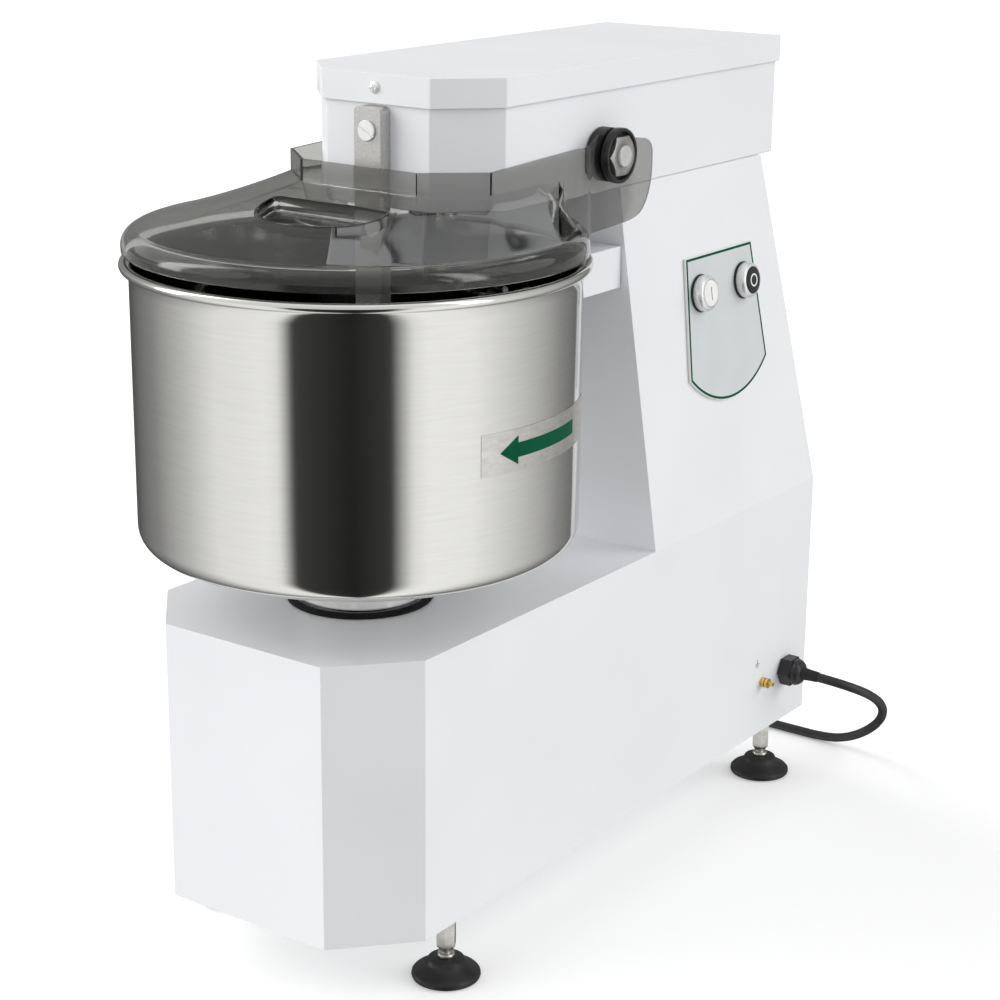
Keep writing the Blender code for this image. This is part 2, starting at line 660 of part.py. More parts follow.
def ear_outline():
    """Side view of the sheet: collar band, then the rounded ear hanging from the pivot."""
    return [(-0.148, COLLAR_BOTTOM - 0.001), (-0.046, COLLAR_BOTTOM - 0.001), (-0.040, 0.664), (0.000, 0.6655),
            (0.050, 0.6677), (0.073, 0.6700), (0.0853, 0.6768), (0.0953, 0.6910), (0.0999, 0.7070),
            (0.1008, 0.7242), (0.0983, 0.7370), (0.0870, 0.7440), (0.0067, 0.7557), (-0.010, 0.7445),
            (-0.148, COLLAR_TOP)]


def make_guard(smoke, steel, rubber, dark):
    guard = finish_object("guard", guard_skin(), smoke, (0, BOWL_Y, 0))
    for side in (-1, 1):
        sheet = finish_object("ear_sheet", prism(ear_plan(side), 0.650, 0.770), None)
        profile = prism([(y, z) for y, z in ear_outline()], -0.2, 0.2)
        turn = Matrix(((0, 0, 1), (1, 0, 0), (0, 1, 0)))
        boolean(sheet, finish_object("ear_profile", profile, None, turn=turn), "INTERSECT")
        bore = turned(disc_profile(0.0106, -0.2, 0.2), 24)
        boolean(sheet, finish_object("ear_bore", bore, None, (0, PIVOT_Y, PIVOT_Z), along((1, 0, 0))))
        boolean(guard, sheet, "UNION")

    for name, side in (("left", -1), ("right", 1)):
        place, turn = (0, PIVOT_Y, PIVOT_Z), along((side, 0, 0))
        face = EAR_X + GUARD_SHEET / 2
        hub_start = LID_HALF_W - HEAD_INSET + 2 * GAP
        shoulder = EAR_X - GUARD_SHEET / 2 - GAP
        bolt = [(0, 0.088), (0.010, 0.088), (0.010, hub_start), (0.016, hub_start), (0.016, shoulder),
                (0.010, shoulder), (0.010, 0.1345), (0, 0.1345)]
        finish_object("pivot_bolt_" + name, turned(bolt, 24), steel, place, turn)
        knob = [(0.0103, face + GAP), (0.0295, face + GAP), (0.0295, face + 0.0085), (0.0235, face + 0.0085),
                (0.0225, face + 0.0030), (0.0103, face + 0.0030)]
        finish_object("pivot_knob_" + name, turned(knob), rubber, place, turn)
        nut = loft([[(x, y, face + 0.0033) for x, y in polygon(6, 0.018)],
                    [(x, y, face + 0.0095) for x, y in polygon(6, 0.018)]])
        nut = finish_object("pivot_nut_" + name, nut, steel, place, turn)
        hole = turned(disc_profile(0.0103, 0.1, 0.2), 20)
        boolean(nut, finish_object("nut_bore", hole, None, place, turn))

    place, turn = (0, PIVOT_Y, PIVOT_Z), along((1, 0, 0))
    cam = arc((0, 0), 0.018, 35, 325, 20)
    cam = finish_object("guard_cam", prism(cam, 0.076, 0.0877), dark, place, turn)
    switch = block((0.066, 0.060, 0.706), (0.096, 0.096, 0.752))
    finish_object("guard_switch", switch, dark)


# ---------------------------------------------------------------- controls

def make_controls(grey, chrome, white, dark):
    frame = panel_frame()
    centre = on_panel(PANEL_Y, BUTTON_Z)
    up = 0.0380
    outline = [(-0.066, up)] + arc((0.0036, -0.0069), 0.1101, 225.4, 314.3, 13) + [(0.0645, up)]
    plate = finish_object("control_panel", prism(outline, GAP, 0.003), grey, centre, frame)
    for place in button_places():
        hole = turned(disc_profile(0.0096, -0.012, 0.012), 24)
        boolean(plate, finish_object("panel_hole", hole, None, place, frame))

    names = ("start", "stop")
    for name, place, cap_mat in zip(names, button_places(), (white, dark)):
        bezel = [(0.0142, 0.0033), (0.0187, 0.0033), (0.0187, 0.0050), (0.0182, 0.0055), (0.0182, 0.0115),
                 (0.0160, 0.0148), (0.0142, 0.0148)]
        finish_object(name + "_bezel", turned(bezel), chrome, place, frame)
        cap = [(0, -0.010), (0.009, -0.010), (0.009, 0.0070), (0.0139, 0.0070), (0.0139, 0.0154),
               (0.0130, 0.0163), (0, 0.0163)]
        finish_object(name + "_button", turned(cap), cap_mat, place, frame)

    contacts = block((-0.060, -0.020, -0.050), (0.060, 0.020, -0.0145))
    finish_object("contact_block", contacts, dark, centre, frame)


def make_electrics(dark, brass):
    outward = along((1, 0, 0))
    gland = turned([(0, GAP), (0.0172, GAP), (0.0172, 0.0125), (0.0150, 0.0150), (0.0130, 0.0205),
                    (0.0085, 0.0253), (0, 0.0253)], 24)
    finish_object("cable_gland", gland, dark, GLAND_AT, outward)
    stud = turned([(0, GAP), (0.0055, GAP), (0.0055, 0.0045), (0.0038, 0.0045), (0.0038, 0.0058),
                   (0.0055, 0.0058), (0.0055, 0.0085), (0.0025, 0.0085), (0.0025, 0.0140), (0, 0.0140)], 16)
    finish_object("earth_terminal", stud, brass, (BASE_HALF_W, 0.3115, 0.125), outward)


# ---------------------------------------------------------------- feet and cord

def foot_places():
    return [(x, y) for y in FOOT_YS for x in (-FOOT_X, FOOT_X)]


def make_feet(steel, rubber):
    names = ("front_left", "front_right", "rear_left", "rear_right")
    for name, (x, y) in zip(names, foot_places()):
        pad = turned([(0, 0), (FOOT_R - 0.001, 0), (FOOT_R, 0.003), (0.0300, 0.0075), (0.0205, 0.0120),
                      (0.0175, 0.0160), (0.0145, 0.0205), (0, 0.0205)], 24)
        finish_object("foot_pad_" + name, pad, rubber, (x, y, 0))
        stem = [[(*p, z) for p in polygon(6, radius, math.radians(30))]
                for radius, z in ((0.0070, 0.0208), (0.0070, 0.0245), (0.0055, 0.0250), (0.0085, 0.0310),
                                  (0.0085, 0.0640), (0.0052, 0.0645), (0.0052, 0.0920))]
        finish_object("foot_stem_" + name, loft(stem), steel, (x, y, 0))


def make_cord(dark):
    curve = bpy.data.curves.new("cord_tube", "CURVE")
    curve.dimensions = "3D"
    curve.bevel_depth = CORD_D / 2
    curve.bevel_resolution = 2
    curve.render_resolution_u = 0
    curve.use_fill_caps = True
    spline = curve.splines.new("POLY")
    points = smooth_line(CORD_ROUTE, 2.0 * CORD_D)
    spline.points.add(len(points) - 1)
    for point, where in zip(spline.points, points):
        point.co = (*where, 1)
    curve.materials.append(dark)
    tube = bpy.data.objects.new("cord_tube", curve)
    bpy.context.scene.collection.objects.link(tube)

    # Two turns side by side in each of two layers
    outer_turn = COIL_MEAN_R + CORD_D / 2
    centre = (COIL_X, COIL_LINE_Y + outer_turn, 0)
    half = CORD_D + 0.0002
    ring = ring_profile(COIL_MEAN_R - half, COIL_MEAN_R + half, 0.0001, 2 * CORD_D + 0.0006)
    finish_object("cord_coil", turned(ring, 40), dark, centre)

    body = [(0, 0), (0.0056, 0), (0.0085, 0.022), (0.0150, 0.026), (0.0180, 0.034), (0.0180, 0.056), (0, 0.056)]
    plug = finish_object("mains_plug", turned(body, 20), dark, (COIL_X - 0.0366, COIL_LINE_Y, 0.0182),
                         along((-1, 0, 0)))
    for side in (-1, 1):
        pin = turned(disc_profile(0.0024, 0.050, 0.075), 10)
        place = (COIL_X - 0.0366, COIL_LINE_Y + side * 0.0095, 0.0182)
        boolean(plug, finish_object("plug_pin", pin, None, place, along((-1, 0, 0))), "UNION")


def main():
    clear_scene()
    white = material("white_powder_coat", (0.82, 0.83, 0.84), 0.45)
    stainless = material("stainless", (0.62, 0.61, 0.59), 0.25, 1.0)
    steel = material("machined_steel", (0.45, 0.44, 0.42), 0.4, 1.0)
    chrome = material("satin_chrome", (0.70, 0.71, 0.72), 0.3, 1.0)
    iron = material("cast_iron", (0.12, 0.12, 0.12), 0.7, 0.6)
    alloy = material("cast_alloy", (0.5, 0.5, 0.5), 0.5, 0.8)
    bronze = material("bronze", (0.55, 0.33, 0.12), 0.4, 1.0)
    brass = material("brass", (0.75, 0.55, 0.18), 0.35, 1.0)
    rubber = material("black_rubber", (0.015, 0.015, 0.015), 0.7)
    dark = material("black_plastic", (0.02, 0.02, 0.02), 0.45)
    smoke = material("smoked_guard", (0.06, 0.06, 0.055), 0.08)
    grey = material("panel_grey", (0.66, 0.70, 0.70), 0.4)
    cap_white = material("white_cap", (0.85, 0.85, 0.84), 0.35)

    make_housing(white)
    make_rear_shield(white)
    make_head(white, steel)
    make_breaker_bar(stainless)
    make_bowl(stainless, rubber)
    make_bowl_bearings(iron, steel)
    make_spiral(stainless)
    make_spiral_bearings(iron, steel)
    make_drive(steel, iron, dark)
    make_gearmotor(alloy, steel, bronze)
    make_guard(smoke, steel, rubber, dark)
    make_controls(grey, chrome, cap_white, dark)
    make_electrics(dark, brass)
    make_feet(steel, rubber)
    make_cord(dark)


main()
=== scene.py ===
"""Looks for the spiral dough mixer: steel bowl, smoked guard, powder-coated housing and its small parts."""
import math

import bmesh
import bpy
from mathutils import Matrix, Vector
from mathutils.bvhtree import BVHTree


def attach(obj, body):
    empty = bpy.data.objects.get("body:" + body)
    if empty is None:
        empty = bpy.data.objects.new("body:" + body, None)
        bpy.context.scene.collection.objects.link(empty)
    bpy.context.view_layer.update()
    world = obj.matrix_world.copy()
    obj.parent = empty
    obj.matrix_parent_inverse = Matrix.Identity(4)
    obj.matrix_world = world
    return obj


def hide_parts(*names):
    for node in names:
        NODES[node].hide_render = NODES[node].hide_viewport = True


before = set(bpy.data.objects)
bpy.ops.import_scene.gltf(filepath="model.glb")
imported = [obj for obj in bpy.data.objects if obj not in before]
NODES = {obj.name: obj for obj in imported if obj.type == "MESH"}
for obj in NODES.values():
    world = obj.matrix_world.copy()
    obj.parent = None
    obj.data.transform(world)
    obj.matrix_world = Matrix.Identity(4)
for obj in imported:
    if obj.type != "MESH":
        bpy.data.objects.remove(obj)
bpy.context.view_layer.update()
SCENE = bpy.context.scene

# Axes and sizes shared with the CAD, in metres
BOWL_Y = -0.1965
BOWL_R = 0.2035
BOWL_BOTTOM = 0.396
RIM_Z = 0.6555
PIVOT = (0.0, 0.034, 0.734)
BASE_HALF_W, HEAD_HALF_W, BASE_TOP, COLUMN_TOP = 0.153, 0.1063, 0.3365, 0.697
PANEL_Y, BUTTON_Z, BUTTON_SPACING = 0.2395, 0.575, 0.085
CORD_D = 0.0105
COIL_CENTRE, COIL_MEAN_R = (-0.075, 0.52925), 0.054
GLAND_AT = (0.153, 0.361, 0.125)

# Guard: rear, collar outline and collar heights, lower edge, sheet thickness and finger grip
GUARD_REAR_Y, COLLAR_HALF_W, COLLAR_CORNER_Y = -0.040, 0.1157, -0.1515
COLLAR_FRONT_HALF_W, COLLAR_FRONT_Y, COLLAR_FOOT_Z = 0.0657, -0.1953, 0.7193
COLLAR_HEIGHTS = (0.7215, 0.726, 0.732, 0.7392)
GUARD_EDGE_R, GUARD_EDGE_Z, GUARD_EDGE_RISE, GUARD_SHEET = 0.2093, 0.666, 0.0025, 0.003
GRIP_X, GRIP_HALF_W, GRIP_FAR, GRIP_DEPTH = 0.003, 0.0655, -0.0375, 0.060

# Camera, and its bearing about the machine in degrees from +X
CAMERA_AT, CAMERA_LENS, SENSOR_W = (1.2907, -1.7771, 1.0573), 82.84, 36.0
CAMERA_FORWARD, CAMERA_RIGHT = (-0.5561, 0.7774, -0.2940), (0.8116, 0.5841, 0.0092)
CAMERA_BEARING = -54.4

# Studio: sun strengths, diffuse fill by height, floor, and heights where the reflections change
KEY_LEFT, KEY_RIGHT, KEY_BACK, FILL, FILL_LOW, FILL_TOP = 1.64, 1.46, 1.45, 1.42, 0.57, 0.42
FLOOR_GLOW = 0.22
HORIZON_FROM, HORIZON_TO = -0.15, 0.0
OVERHEAD_FROM, OVERHEAD_TO, OVERHEAD = 0.72, 0.92, (0.95, 0.95, 0.95)


# ---------------------------------------------------------------- camera and cord

def make_camera():
    forward = Vector(CAMERA_FORWARD).normalized()
    right = Vector(CAMERA_RIGHT)
    right = (right - forward * right.dot(forward)).normalized()
    up = right.cross(forward)
    data = bpy.data.cameras.new("camera")
    data.lens, data.sensor_width = CAMERA_LENS, SENSOR_W
    data.clip_start, data.clip_end = 0.05, 50
    cam = bpy.data.objects.new("camera", data)
    SCENE.collection.objects.link(cam)
    turn = Matrix((right, up, -forward)).transposed().to_4x4()
    cam.matrix_world = Matrix.Translation(CAMERA_AT) @ turn
    SCENE.camera = cam


def smooth_line(points, step):
    """Points about a step apart along a Catmull-Rom curve through a route."""
    pts = [Vector(p) for p in points]
    pts = [2 * pts[0] - pts[1], *pts, 2 * pts[-1] - pts[-2]]
    line = []
    for a, b, c, d in zip(pts, pts[1:], pts[2:], pts[3:]):
        count = max(1, round((c - b).length / step))
        for k in range(count):
            t = k / count
            line.append(0.5 * (2 * b + (c - a) * t + (2 * a - 5 * b + 4 * c - d) * t * t
                               + (3 * b - a - 3 * c + d) * t ** 3))
    return line + [pts[-2]]


def ease(t):
    t = min(max(t, 0.0), 1.0)
    return t * t * (3 - 2 * t)


def coil_points():
    """Three turns in two layers: outer, inner, then up onto the inner and out to the outer again."""
    low, high = 0.0054, 0.0161
    inner, outer = COIL_MEAN_R - CORD_D / 2, COIL_MEAN_R + CORD_D / 2
    points = []
    for k in range(0, 109):
        swept = 10.0 * k
        inwards = ease((swept - 300) / 60)
        upwards = ease((swept - 600) / 60)
        outwards = ease((swept - 900) / 60)
        radius = outer + (inner - outer) * (inwards - outwards)
        angle = math.radians(-90 - swept)
        points.append((COIL_CENTRE[0] + radius * math.cos(angle), COIL_CENTRE[1] + radius * math.sin(angle),
                       low + (high - low) * upwards))
    return points


def cord_route():
    """Out of the gland, down to the floor, round the rear corner and along to the coil behind the machine."""
    lead = [(0.1786, 0.361, 0.125), (0.190, 0.361, 0.1249), (0.203, 0.3625, 0.124), (0.218, 0.3675, 0.121),
            (0.231, 0.377, 0.1155), (0.241, 0.391, 0.107), (0.246, 0.408, 0.095), (0.245, 0.425, 0.0805),
            (0.238, 0.441, 0.064), (0.226, 0.454, 0.047), (0.209, 0.463, 0.0305), (0.189, 0.468, 0.017),
            (0.167, 0.470, 0.0086), (0.143, 0.4703, 0.0056), (0.118, 0.470, 0.0054), (0.080, 0.470, 0.0054),
            (0.040, 0.470, 0.0054), (0.000, 0.470, 0.0054), (-0.039, 0.470, 0.0054)]
    tail = [(-0.092, 0.470, 0.0168), (-0.1116, 0.470, 0.0182), (-0.1216, 0.470, 0.0182)]
    return lead + coil_points() + tail


# ---------------------------------------------------------------- mesh helpers

def add(name, bm, mat, body, at=(0, 0, 0), turn=None, hides=(), smooth=35):
    """A finished piece from a bmesh, riding on a body."""
    bmesh.ops.recalc_face_normals(bm, faces=bm.faces)
    mesh = bpy.data.meshes.new(name)
    bm.to_mesh(mesh)
    bm.free()
    matrix = Matrix.Translation(at) @ (turn.to_4x4() if turn is not None else Matrix.Identity(4))
    mesh.transform(matrix)
    mesh.shade_smooth()
    mesh.set_sharp_from_angle(angle=math.radians(smooth))
    obj = bpy.data.objects.new(name, mesh)
    SCENE.collection.objects.link(obj)
    if mat:
        mesh.materials.append(mat)
    if body:
        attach(obj, body)
    if hides:
        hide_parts(*hides)
    return obj


def along(direction):
    return Vector(direction).to_track_quat("Z", "Y").to_matrix()


def turned(profile, segments=96):
    """Profile of (radius, height) turned about local Z; its ends are on the axis or get joined."""
    bm = bmesh.new()
    rows = []
    for radius, height in profile:
        if radius < 1e-7:
            rows.append([bm.verts.new((0, 0, height))])
            continue
        angles = [math.tau * k / segments for k in range(segments)]
        rows.append([bm.verts.new((radius * math.cos(a), radius * math.sin(a), height)) for a in angles])
    pairs = list(zip(rows, rows[1:]))
    if len(rows[0]) > 1:
        pairs.append((rows[-1], rows[0]))
    for low, high in pairs:
        for k in range(segments):
            n = (k + 1) % segments
            corners = [low[k % len(low)], low[n % len(low)], high[n % len(high)], high[k % len(high)]]
            unique = list(dict.fromkeys(corners))
            if len(unique) > 2:
                bm.faces.new(unique)
    return bm


def loft(rings):
    bm = bmesh.new()
    rows = [[bm.verts.new(p) for p in ring] for ring in rings]
    count = len(rows[0])
    for low, high in zip(rows, rows[1:]):
        for i in range(count):
            j = (i + 1) % count
            bm.faces.new((low[i], low[j], high[j], high[i]))
    bm.faces.new(rows[0])
    bm.faces.new(rows[-1])
    return bm


def prism(outline, low, high):
    return loft([[(x, y, low) for x, y in outline], [(x, y, high) for x, y in outline]])


def block(low, high):
    (x0, y0, z0), (x1, y1, z1) = low, high
    return prism([(x0, y0), (x1, y0), (x1, y1), (x0, y1)], z0, z1)


def arc(centre, radius, start, end, count):
    steps = [math.radians(start + (end - start) * k / (count - 1)) for k in range(count)]
    return [(centre[0] + radius * math.cos(a), centre[1] + radius * math.sin(a)) for a in steps]


def polygon(sides, flat_radius, turn=0.0):
    corner = flat_radius / math.cos(math.pi / sides)
    angles = [turn + math.tau * (k + 0.5) / sides for k in range(sides)]
    return [(corner * math.cos(a), corner * math.sin(a)) for a in angles]


def combine(obj, tool, operation):
    """Boolean with another mesh object, applied; the tool is removed."""
    mod = obj.modifiers.new("cut", "BOOLEAN")
    mod.object, mod.operation, mod.solver = tool, operation, "EXACT"
    graph = bpy.context.evaluated_depsgraph_get()
    result = bpy.data.meshes.new_from_object(obj.evaluated_get(graph))
    obj.modifiers.clear()
    old = obj.data
    obj.data = result
    bpy.data.meshes.remove(old)
    bpy.data.objects.remove(tool)
    obj.data.set_sharp_from_angle(angle=math.radians(35))
    return obj


def soften(node, width, segments=3):
    """Rounded folds and edges on a CAD node, as modifiers; shallower angles stay as they are."""
    obj = NODES[node]
    weld = obj.modifiers.new("weld", "WELD")
    weld.merge_threshold = 0.00002
    bevel = obj.modifiers.new("bevel", "BEVEL")
    bevel.width, bevel.segments = width, segments
    bevel.limit_method, bevel.angle_limit = "ANGLE", math.radians(25)
    bevel.use_clamp_overlap = True
    bevel.harden_normals = True


# ---------------------------------------------------------------- materials

def math_node(tree, operation, a, b=None):
    """Output of a maths node; each input is a number or another node's output."""
    node = tree.nodes.new("ShaderNodeMath")
    node.operation = operation
    for socket, value in zip(node.inputs, (a, b)):
        if isinstance(value, (int, float)):
            socket.default_value = value
        elif value is not None:
            tree.links.new(value, socket)
    return node.outputs[0]


def mixed(tree, factor, a, b):
    """Colour between two others, each one a colour or another node's output."""
    node = tree.nodes.new("ShaderNodeMix")
    node.data_type = "RGBA"
    tree.links.new(factor, node.inputs[0])
    for socket, value in ((node.inputs[6], a), (node.inputs[7], b)):
        if isinstance(value, tuple):
            socket.default_value = (*value, 1)
        else:
            tree.links.new(value, socket)
    return node.outputs[2]


def colour_ramp(tree, source, stops):
    """Colour looked up in a list of (position, colour)."""
    ramp = tree.nodes.new("ShaderNodeValToRGB")
    elements = ramp.color_ramp.elements
    while len(elements) < len(stops):
        elements.new(0.5)
    for element, (position, colour) in zip(elements, stops):
        element.position = position
        element.color = (*colour, 1)
    tree.links.new(source, ramp.inputs["Fac"])
    return ramp.outputs["Color"]


class Shader:
    """Small wrapper for building a Principled material."""

    def __init__(self, name, colour, roughness, metallic=0.0, **sockets):
        self.mat = bpy.data.materials.new(name)
        self.mat.use_nodes = True
        self.tree = self.mat.node_tree
        self.bsdf = self.tree.nodes["Principled BSDF"]
        self.bsdf.inputs["Base Color"].default_value = (*colour, 1)
        self.bsdf.inputs["Roughness"].default_value = roughness
        self.bsdf.inputs["Metallic"].default_value = metallic
        for socket, value in sockets.items():
            self.bsdf.inputs[socket.replace("_", " ")].default_value = value

    def node(self, kind, **values):
        node = self.tree.nodes.new(kind)
        for key, value in values.items():
            if key in node.inputs:
                node.inputs[key].default_value = value
            else:
                setattr(node, key, value)
        return node

    def link(self, a, b):
        self.tree.links.new(a, b)

    def coords(self, stretch=(1, 1, 1)):
        where = self.node("ShaderNodeTexCoord")
        mapping = self.node("ShaderNodeMapping")
        mapping.inputs["Scale"].default_value = stretch
        self.link(where.outputs["Object"], mapping.inputs["Vector"])
        return mapping.outputs["Vector"]

    def noise(self, scale, detail, stretch=(1, 1, 1)):
        noise = self.node("ShaderNodeTexNoise", Scale=scale, Detail=detail)
        self.link(self.coords(stretch), noise.inputs["Vector"])
        return noise.outputs["Fac"]

    def tint(self, source, dark, light):
        colour = colour_ramp(self.tree, source, [(0.3, dark), (0.7, light)])
        self.link(colour, self.bsdf.inputs["Base Color"])

    def rough(self, source, low, high):
        span = self.node("ShaderNodeMapRange")
        span.inputs["To Min"].default_value = low
        span.inputs["To Max"].default_value = high
        self.link(source, span.inputs["Value"])
        self.link(span.outputs["Result"], self.bsdf.inputs["Roughness"])
        return self

    def bump(self, source, depth, strength):
        bump = self.node("ShaderNodeBump", Distance=depth, Strength=strength)
        self.link(source, bump.inputs["Height"])
        self.link(bump.outputs["Normal"], self.bsdf.inputs["Normal"])
        return self


def powder_coat():
    sh = Shader("white_powder_coat", (0.80, 0.81, 0.83), 0.36)
    sh.tint(sh.noise(7, 2), (0.785, 0.795, 0.815), (0.815, 0.825, 0.845))
    sh.rough(sh.noise(260, 2), 0.30, 0.46)
    return sh.bump(sh.noise(620, 2), 0.00025, 0.5).mat


def polished_steel():
    sh = Shader("polished_stainless", (0.72, 0.715, 0.70), 0.10, 1.0)
    sh.tint(sh.noise(24, 3, (1, 1, 16)), (0.705, 0.70, 0.685), (0.735, 0.73, 0.715))
    sh.rough(sh.noise(30, 4, (1, 1, 40)), 0.07, 0.12)
    return sh.bump(sh.noise(20, 3, (1, 1, 60)), 0.00001, 0.15)


def bowl_steel():
    """Polished outside; the wall inside gets a dark base colour as painted shade, standing in for the shadow
    inside the bowl under the guard.
    """
    inner_radius, above_floor, painted_inner_shade = BOWL_R - 0.0013, 0.42, (0.20, 0.20, 0.195)
    sh = polished_steel()
    place = sh.coords()
    offset = sh.node("ShaderNodeVectorMath", operation="MULTIPLY_ADD")
    offset.inputs[1].default_value, offset.inputs[2].default_value = (1, 1, 0), (0, -BOWL_Y, 0)
    sh.link(place, offset.inputs[0])
    radius = sh.node("ShaderNodeVectorMath", operation="LENGTH")
    sh.link(offset.outputs["Vector"], radius.inputs[0])
    split = sh.node("ShaderNodeSeparateXYZ")
    sh.link(place, split.inputs[0])
    within = math_node(sh.tree, "LESS_THAN", radius.outputs["Value"], inner_radius)
    lifted = math_node(sh.tree, "GREATER_THAN", split.outputs["Z"], above_floor)
    base = sh.bsdf.inputs["Base Color"]
    # Painted shade: the inner wall above the floor takes the dark colour in place of the shadow under the
    # guard
    inside = math_node(sh.tree, "MULTIPLY", within, lifted)
    sh.link(mixed(sh.tree, inside, base.links[0].from_socket, painted_inner_shade), base)
    return sh.mat


def cast_steel(name, level):
    dark, light = (level, level * 0.99, level * 0.97), (level * 1.24, level * 1.22, level * 1.2)
    sh = Shader(name, dark, 0.42, 0.85)
    sh.tint(sh.noise(420, 4), dark, light)
    sh.rough(sh.noise(140, 4), 0.32, 0.52)
    return sh.bump(sh.noise(900, 3), 0.00012, 0.6).mat


def machined_steel():
    sh = Shader("machined_steel", (0.50, 0.49, 0.47), 0.28, 1.0)
    sh.tint(sh.noise(90, 4), (0.43, 0.42, 0.40), (0.58, 0.57, 0.55))
    return sh.rough(sh.noise(200, 3, (1, 1, 6)), 0.2, 0.38).mat


def satin_silver():
    sh = Shader("satin_silver", (0.80, 0.805, 0.81), 0.34, 0.6)
    sh.tint(sh.noise(240, 3), (0.76, 0.765, 0.77), (0.84, 0.845, 0.85))
    return sh.rough(sh.noise(300, 2), 0.26, 0.40).mat


def smoked_sheet():
    sh = Shader("smoked_sheet", (0.39, 0.39, 0.375), 0.02, 0.0, Transmission_Weight=1.0, IOR=1.49)
    return sh.rough(sh.noise(14, 3), 0.01, 0.03).mat


def black_rubber():
    sh = Shader("black_rubber", (0.012, 0.012, 0.013), 0.42, Specular_IOR_Level=0.3)
    sh.tint(sh.noise(40, 4), (0.009, 0.009, 0.010), (0.022, 0.022, 0.023))
    sh.rough(sh.noise(70, 3), 0.30, 0.50)
    return sh.bump(sh.noise(500, 2), 0.0001, 0.4).mat


def black_plastic():
    sh = Shader("black_plastic", (0.014, 0.014, 0.015), 0.30, Specular_IOR_Level=0.35)
    sh.tint(sh.noise(60, 3), (0.011, 0.011, 0.012), (0.020, 0.020, 0.022))
    return sh.rough(sh.noise(120, 3), 0.22, 0.36).mat


def cord_rubber():
    sh = Shader("cord_sheath", (0.016, 0.016, 0.018), 0.45)
    sh.tint(sh.noise(50, 3), (0.012, 0.012, 0.014), (0.024, 0.024, 0.026))
    return sh.bump(sh.noise(700, 2), 0.00008, 0.4).mat


def plain(name, colour, roughness, metallic=0.0, scale=90, spread=0.08, **sockets):
    sh = Shader(name, colour, roughness, metallic, **sockets)
    dark = tuple(c * (1 - spread) for c in colour)
    light = tuple(min(1.0, c * (1 + spread)) for c in colour)
    sh.tint(sh.noise(scale, 3), dark, light)
    return sh.rough(sh.noise(scale * 2, 2), roughness * 0.85, roughness * 1.15).mat


def label_film():
    sh = Shader("silver_film", (0.62, 0.61, 0.58), 0.34, 0.9)
    sh.tint(sh.noise(90, 3, (1, 1, 3)), (0.56, 0.55, 0.52), (0.68, 0.67, 0.64))
    return sh.rough(sh.noise(260, 2), 0.28, 0.42).mat


# ---------------------------------------------------------------- bowl

def make_bowl(mats):
    inside, wall = BOWL_R - 0.0025, 0.0025
    bottom, corner = BOWL_BOTTOM, 0.020
    outer = [(0, bottom), (0.10, bottom)]
    outer += arc((BOWL_R - corner, bottom + corner), corner, -90, 0, 12)
    outer += [(BOWL_R, 0.46), (BOWL_R, 0.55), (BOWL_R, 0.640), (BOWL_R, 0.6485)]
    bead = arc((0.2075, RIM_Z), 0.0045, -118, 138, 18)
    lip = [(inside + 0.0008, RIM_Z + 0.0020), (inside, RIM_Z - 0.0005), (inside, 0.55), (inside, 0.46)]
    floor = arc((BOWL_R - corner, bottom + corner), corner - wall, 0, -90, 12)
    profile = outer + bead + lip + floor + [(0.10, bottom + wall), (0, bottom + wall)]
    add("bowl_shell", turned(profile, 160), mats["bowl"], "bowl_unit", (0, BOWL_Y, 0),
        hides=["bowl"], smooth=50)
    hub = [(0, 0.385), (0.0178, 0.385), (0.0178, 0.342), (0.0595, 0.342), (0.061, 0.3435), (0.061, 0.3957),
           (0, 0.3957)]
    add("hub_boss", turned(hub, 96), mats["bright"], "bowl_unit", (0, BOWL_Y, 0), hides=["bowl_hub"])
    ring = [(0.0622, BASE_TOP + 0.0003), (0.0685, BASE_TOP + 0.0003), (0.0688, BASE_TOP + 0.0012),
            (0.0680, BASE_TOP + 0.0034), (0.0665, BASE_TOP + 0.0045), (0.0632, BASE_TOP + 0.0045),
            (0.0622, BASE_TOP + 0.0040)]
    add("lip_seal", turned(ring, 96), mats["seal"], "frame", (0, BOWL_Y, 0), hides=["seal_ring"])


def on_bowl(angle, z, out):
    """Point on the bowl's wall: angle in degrees from the machine's -Y front towards +X."""
    a = math.radians(angle)
    r = BOWL_R + out
    return Vector((r * math.sin(a), BOWL_Y - r * math.cos(a), z))


def wall_patch(low_edge, high_edge, angles, lift):
    """Thin film on the bowl's wall between two heights given per angle."""
    bm = bmesh.new()
    rings = []
    for angle, low, high in zip(angles, low_edge, high_edge):
        ring = [on_bowl(angle, low, lift - 0.0001), on_bowl(angle, low, lift), on_bowl(angle, high, lift),
                on_bowl(angle, high, lift - 0.0001)]
        rings.append([bm.verts.new(p) for p in ring])
    for a, b in zip(rings, rings[1:]):
        for i in range(4):
            j = (i + 1) % 4
            bm.faces.new((a[i], a[j], b[j], b[i]))
    bm.faces.new(rings[0])
    bm.faces.new(rings[-1])
    return bm


def make_arrow(mats):
    """Printed arrow on a pale film; angles run round the bowl from its front."""
    film_from, film_span, film_low, film_high = 69.6, 51.4, 0.501, 0.539
    angles = [film_from + film_span * k / 32 for k in range(33)]
    film = wall_patch([film_low] * 33, [film_high] * 33, angles, 0.0003)
    add("arrow_film", film, mats["film"], "bowl_unit")
    centre, head_half, shaft_half = 0.520, 0.0128, 0.0065
    head = [75.2 + 5.9 * k / 6 for k in range(7)]
    shaft = [81.11 + 26.4 * k / 16 for k in range(17)]
    half = [head_half * k / 6 + 0.0001 for k in range(7)] + [shaft_half] * 17
    arrow = wall_patch([centre - h for h in half], [centre + h for h in half], head + shaft, 0.0005)
    add("arrow_mark", arrow, mats["green"], "bowl_unit")


# ---------------------------------------------------------------- guard

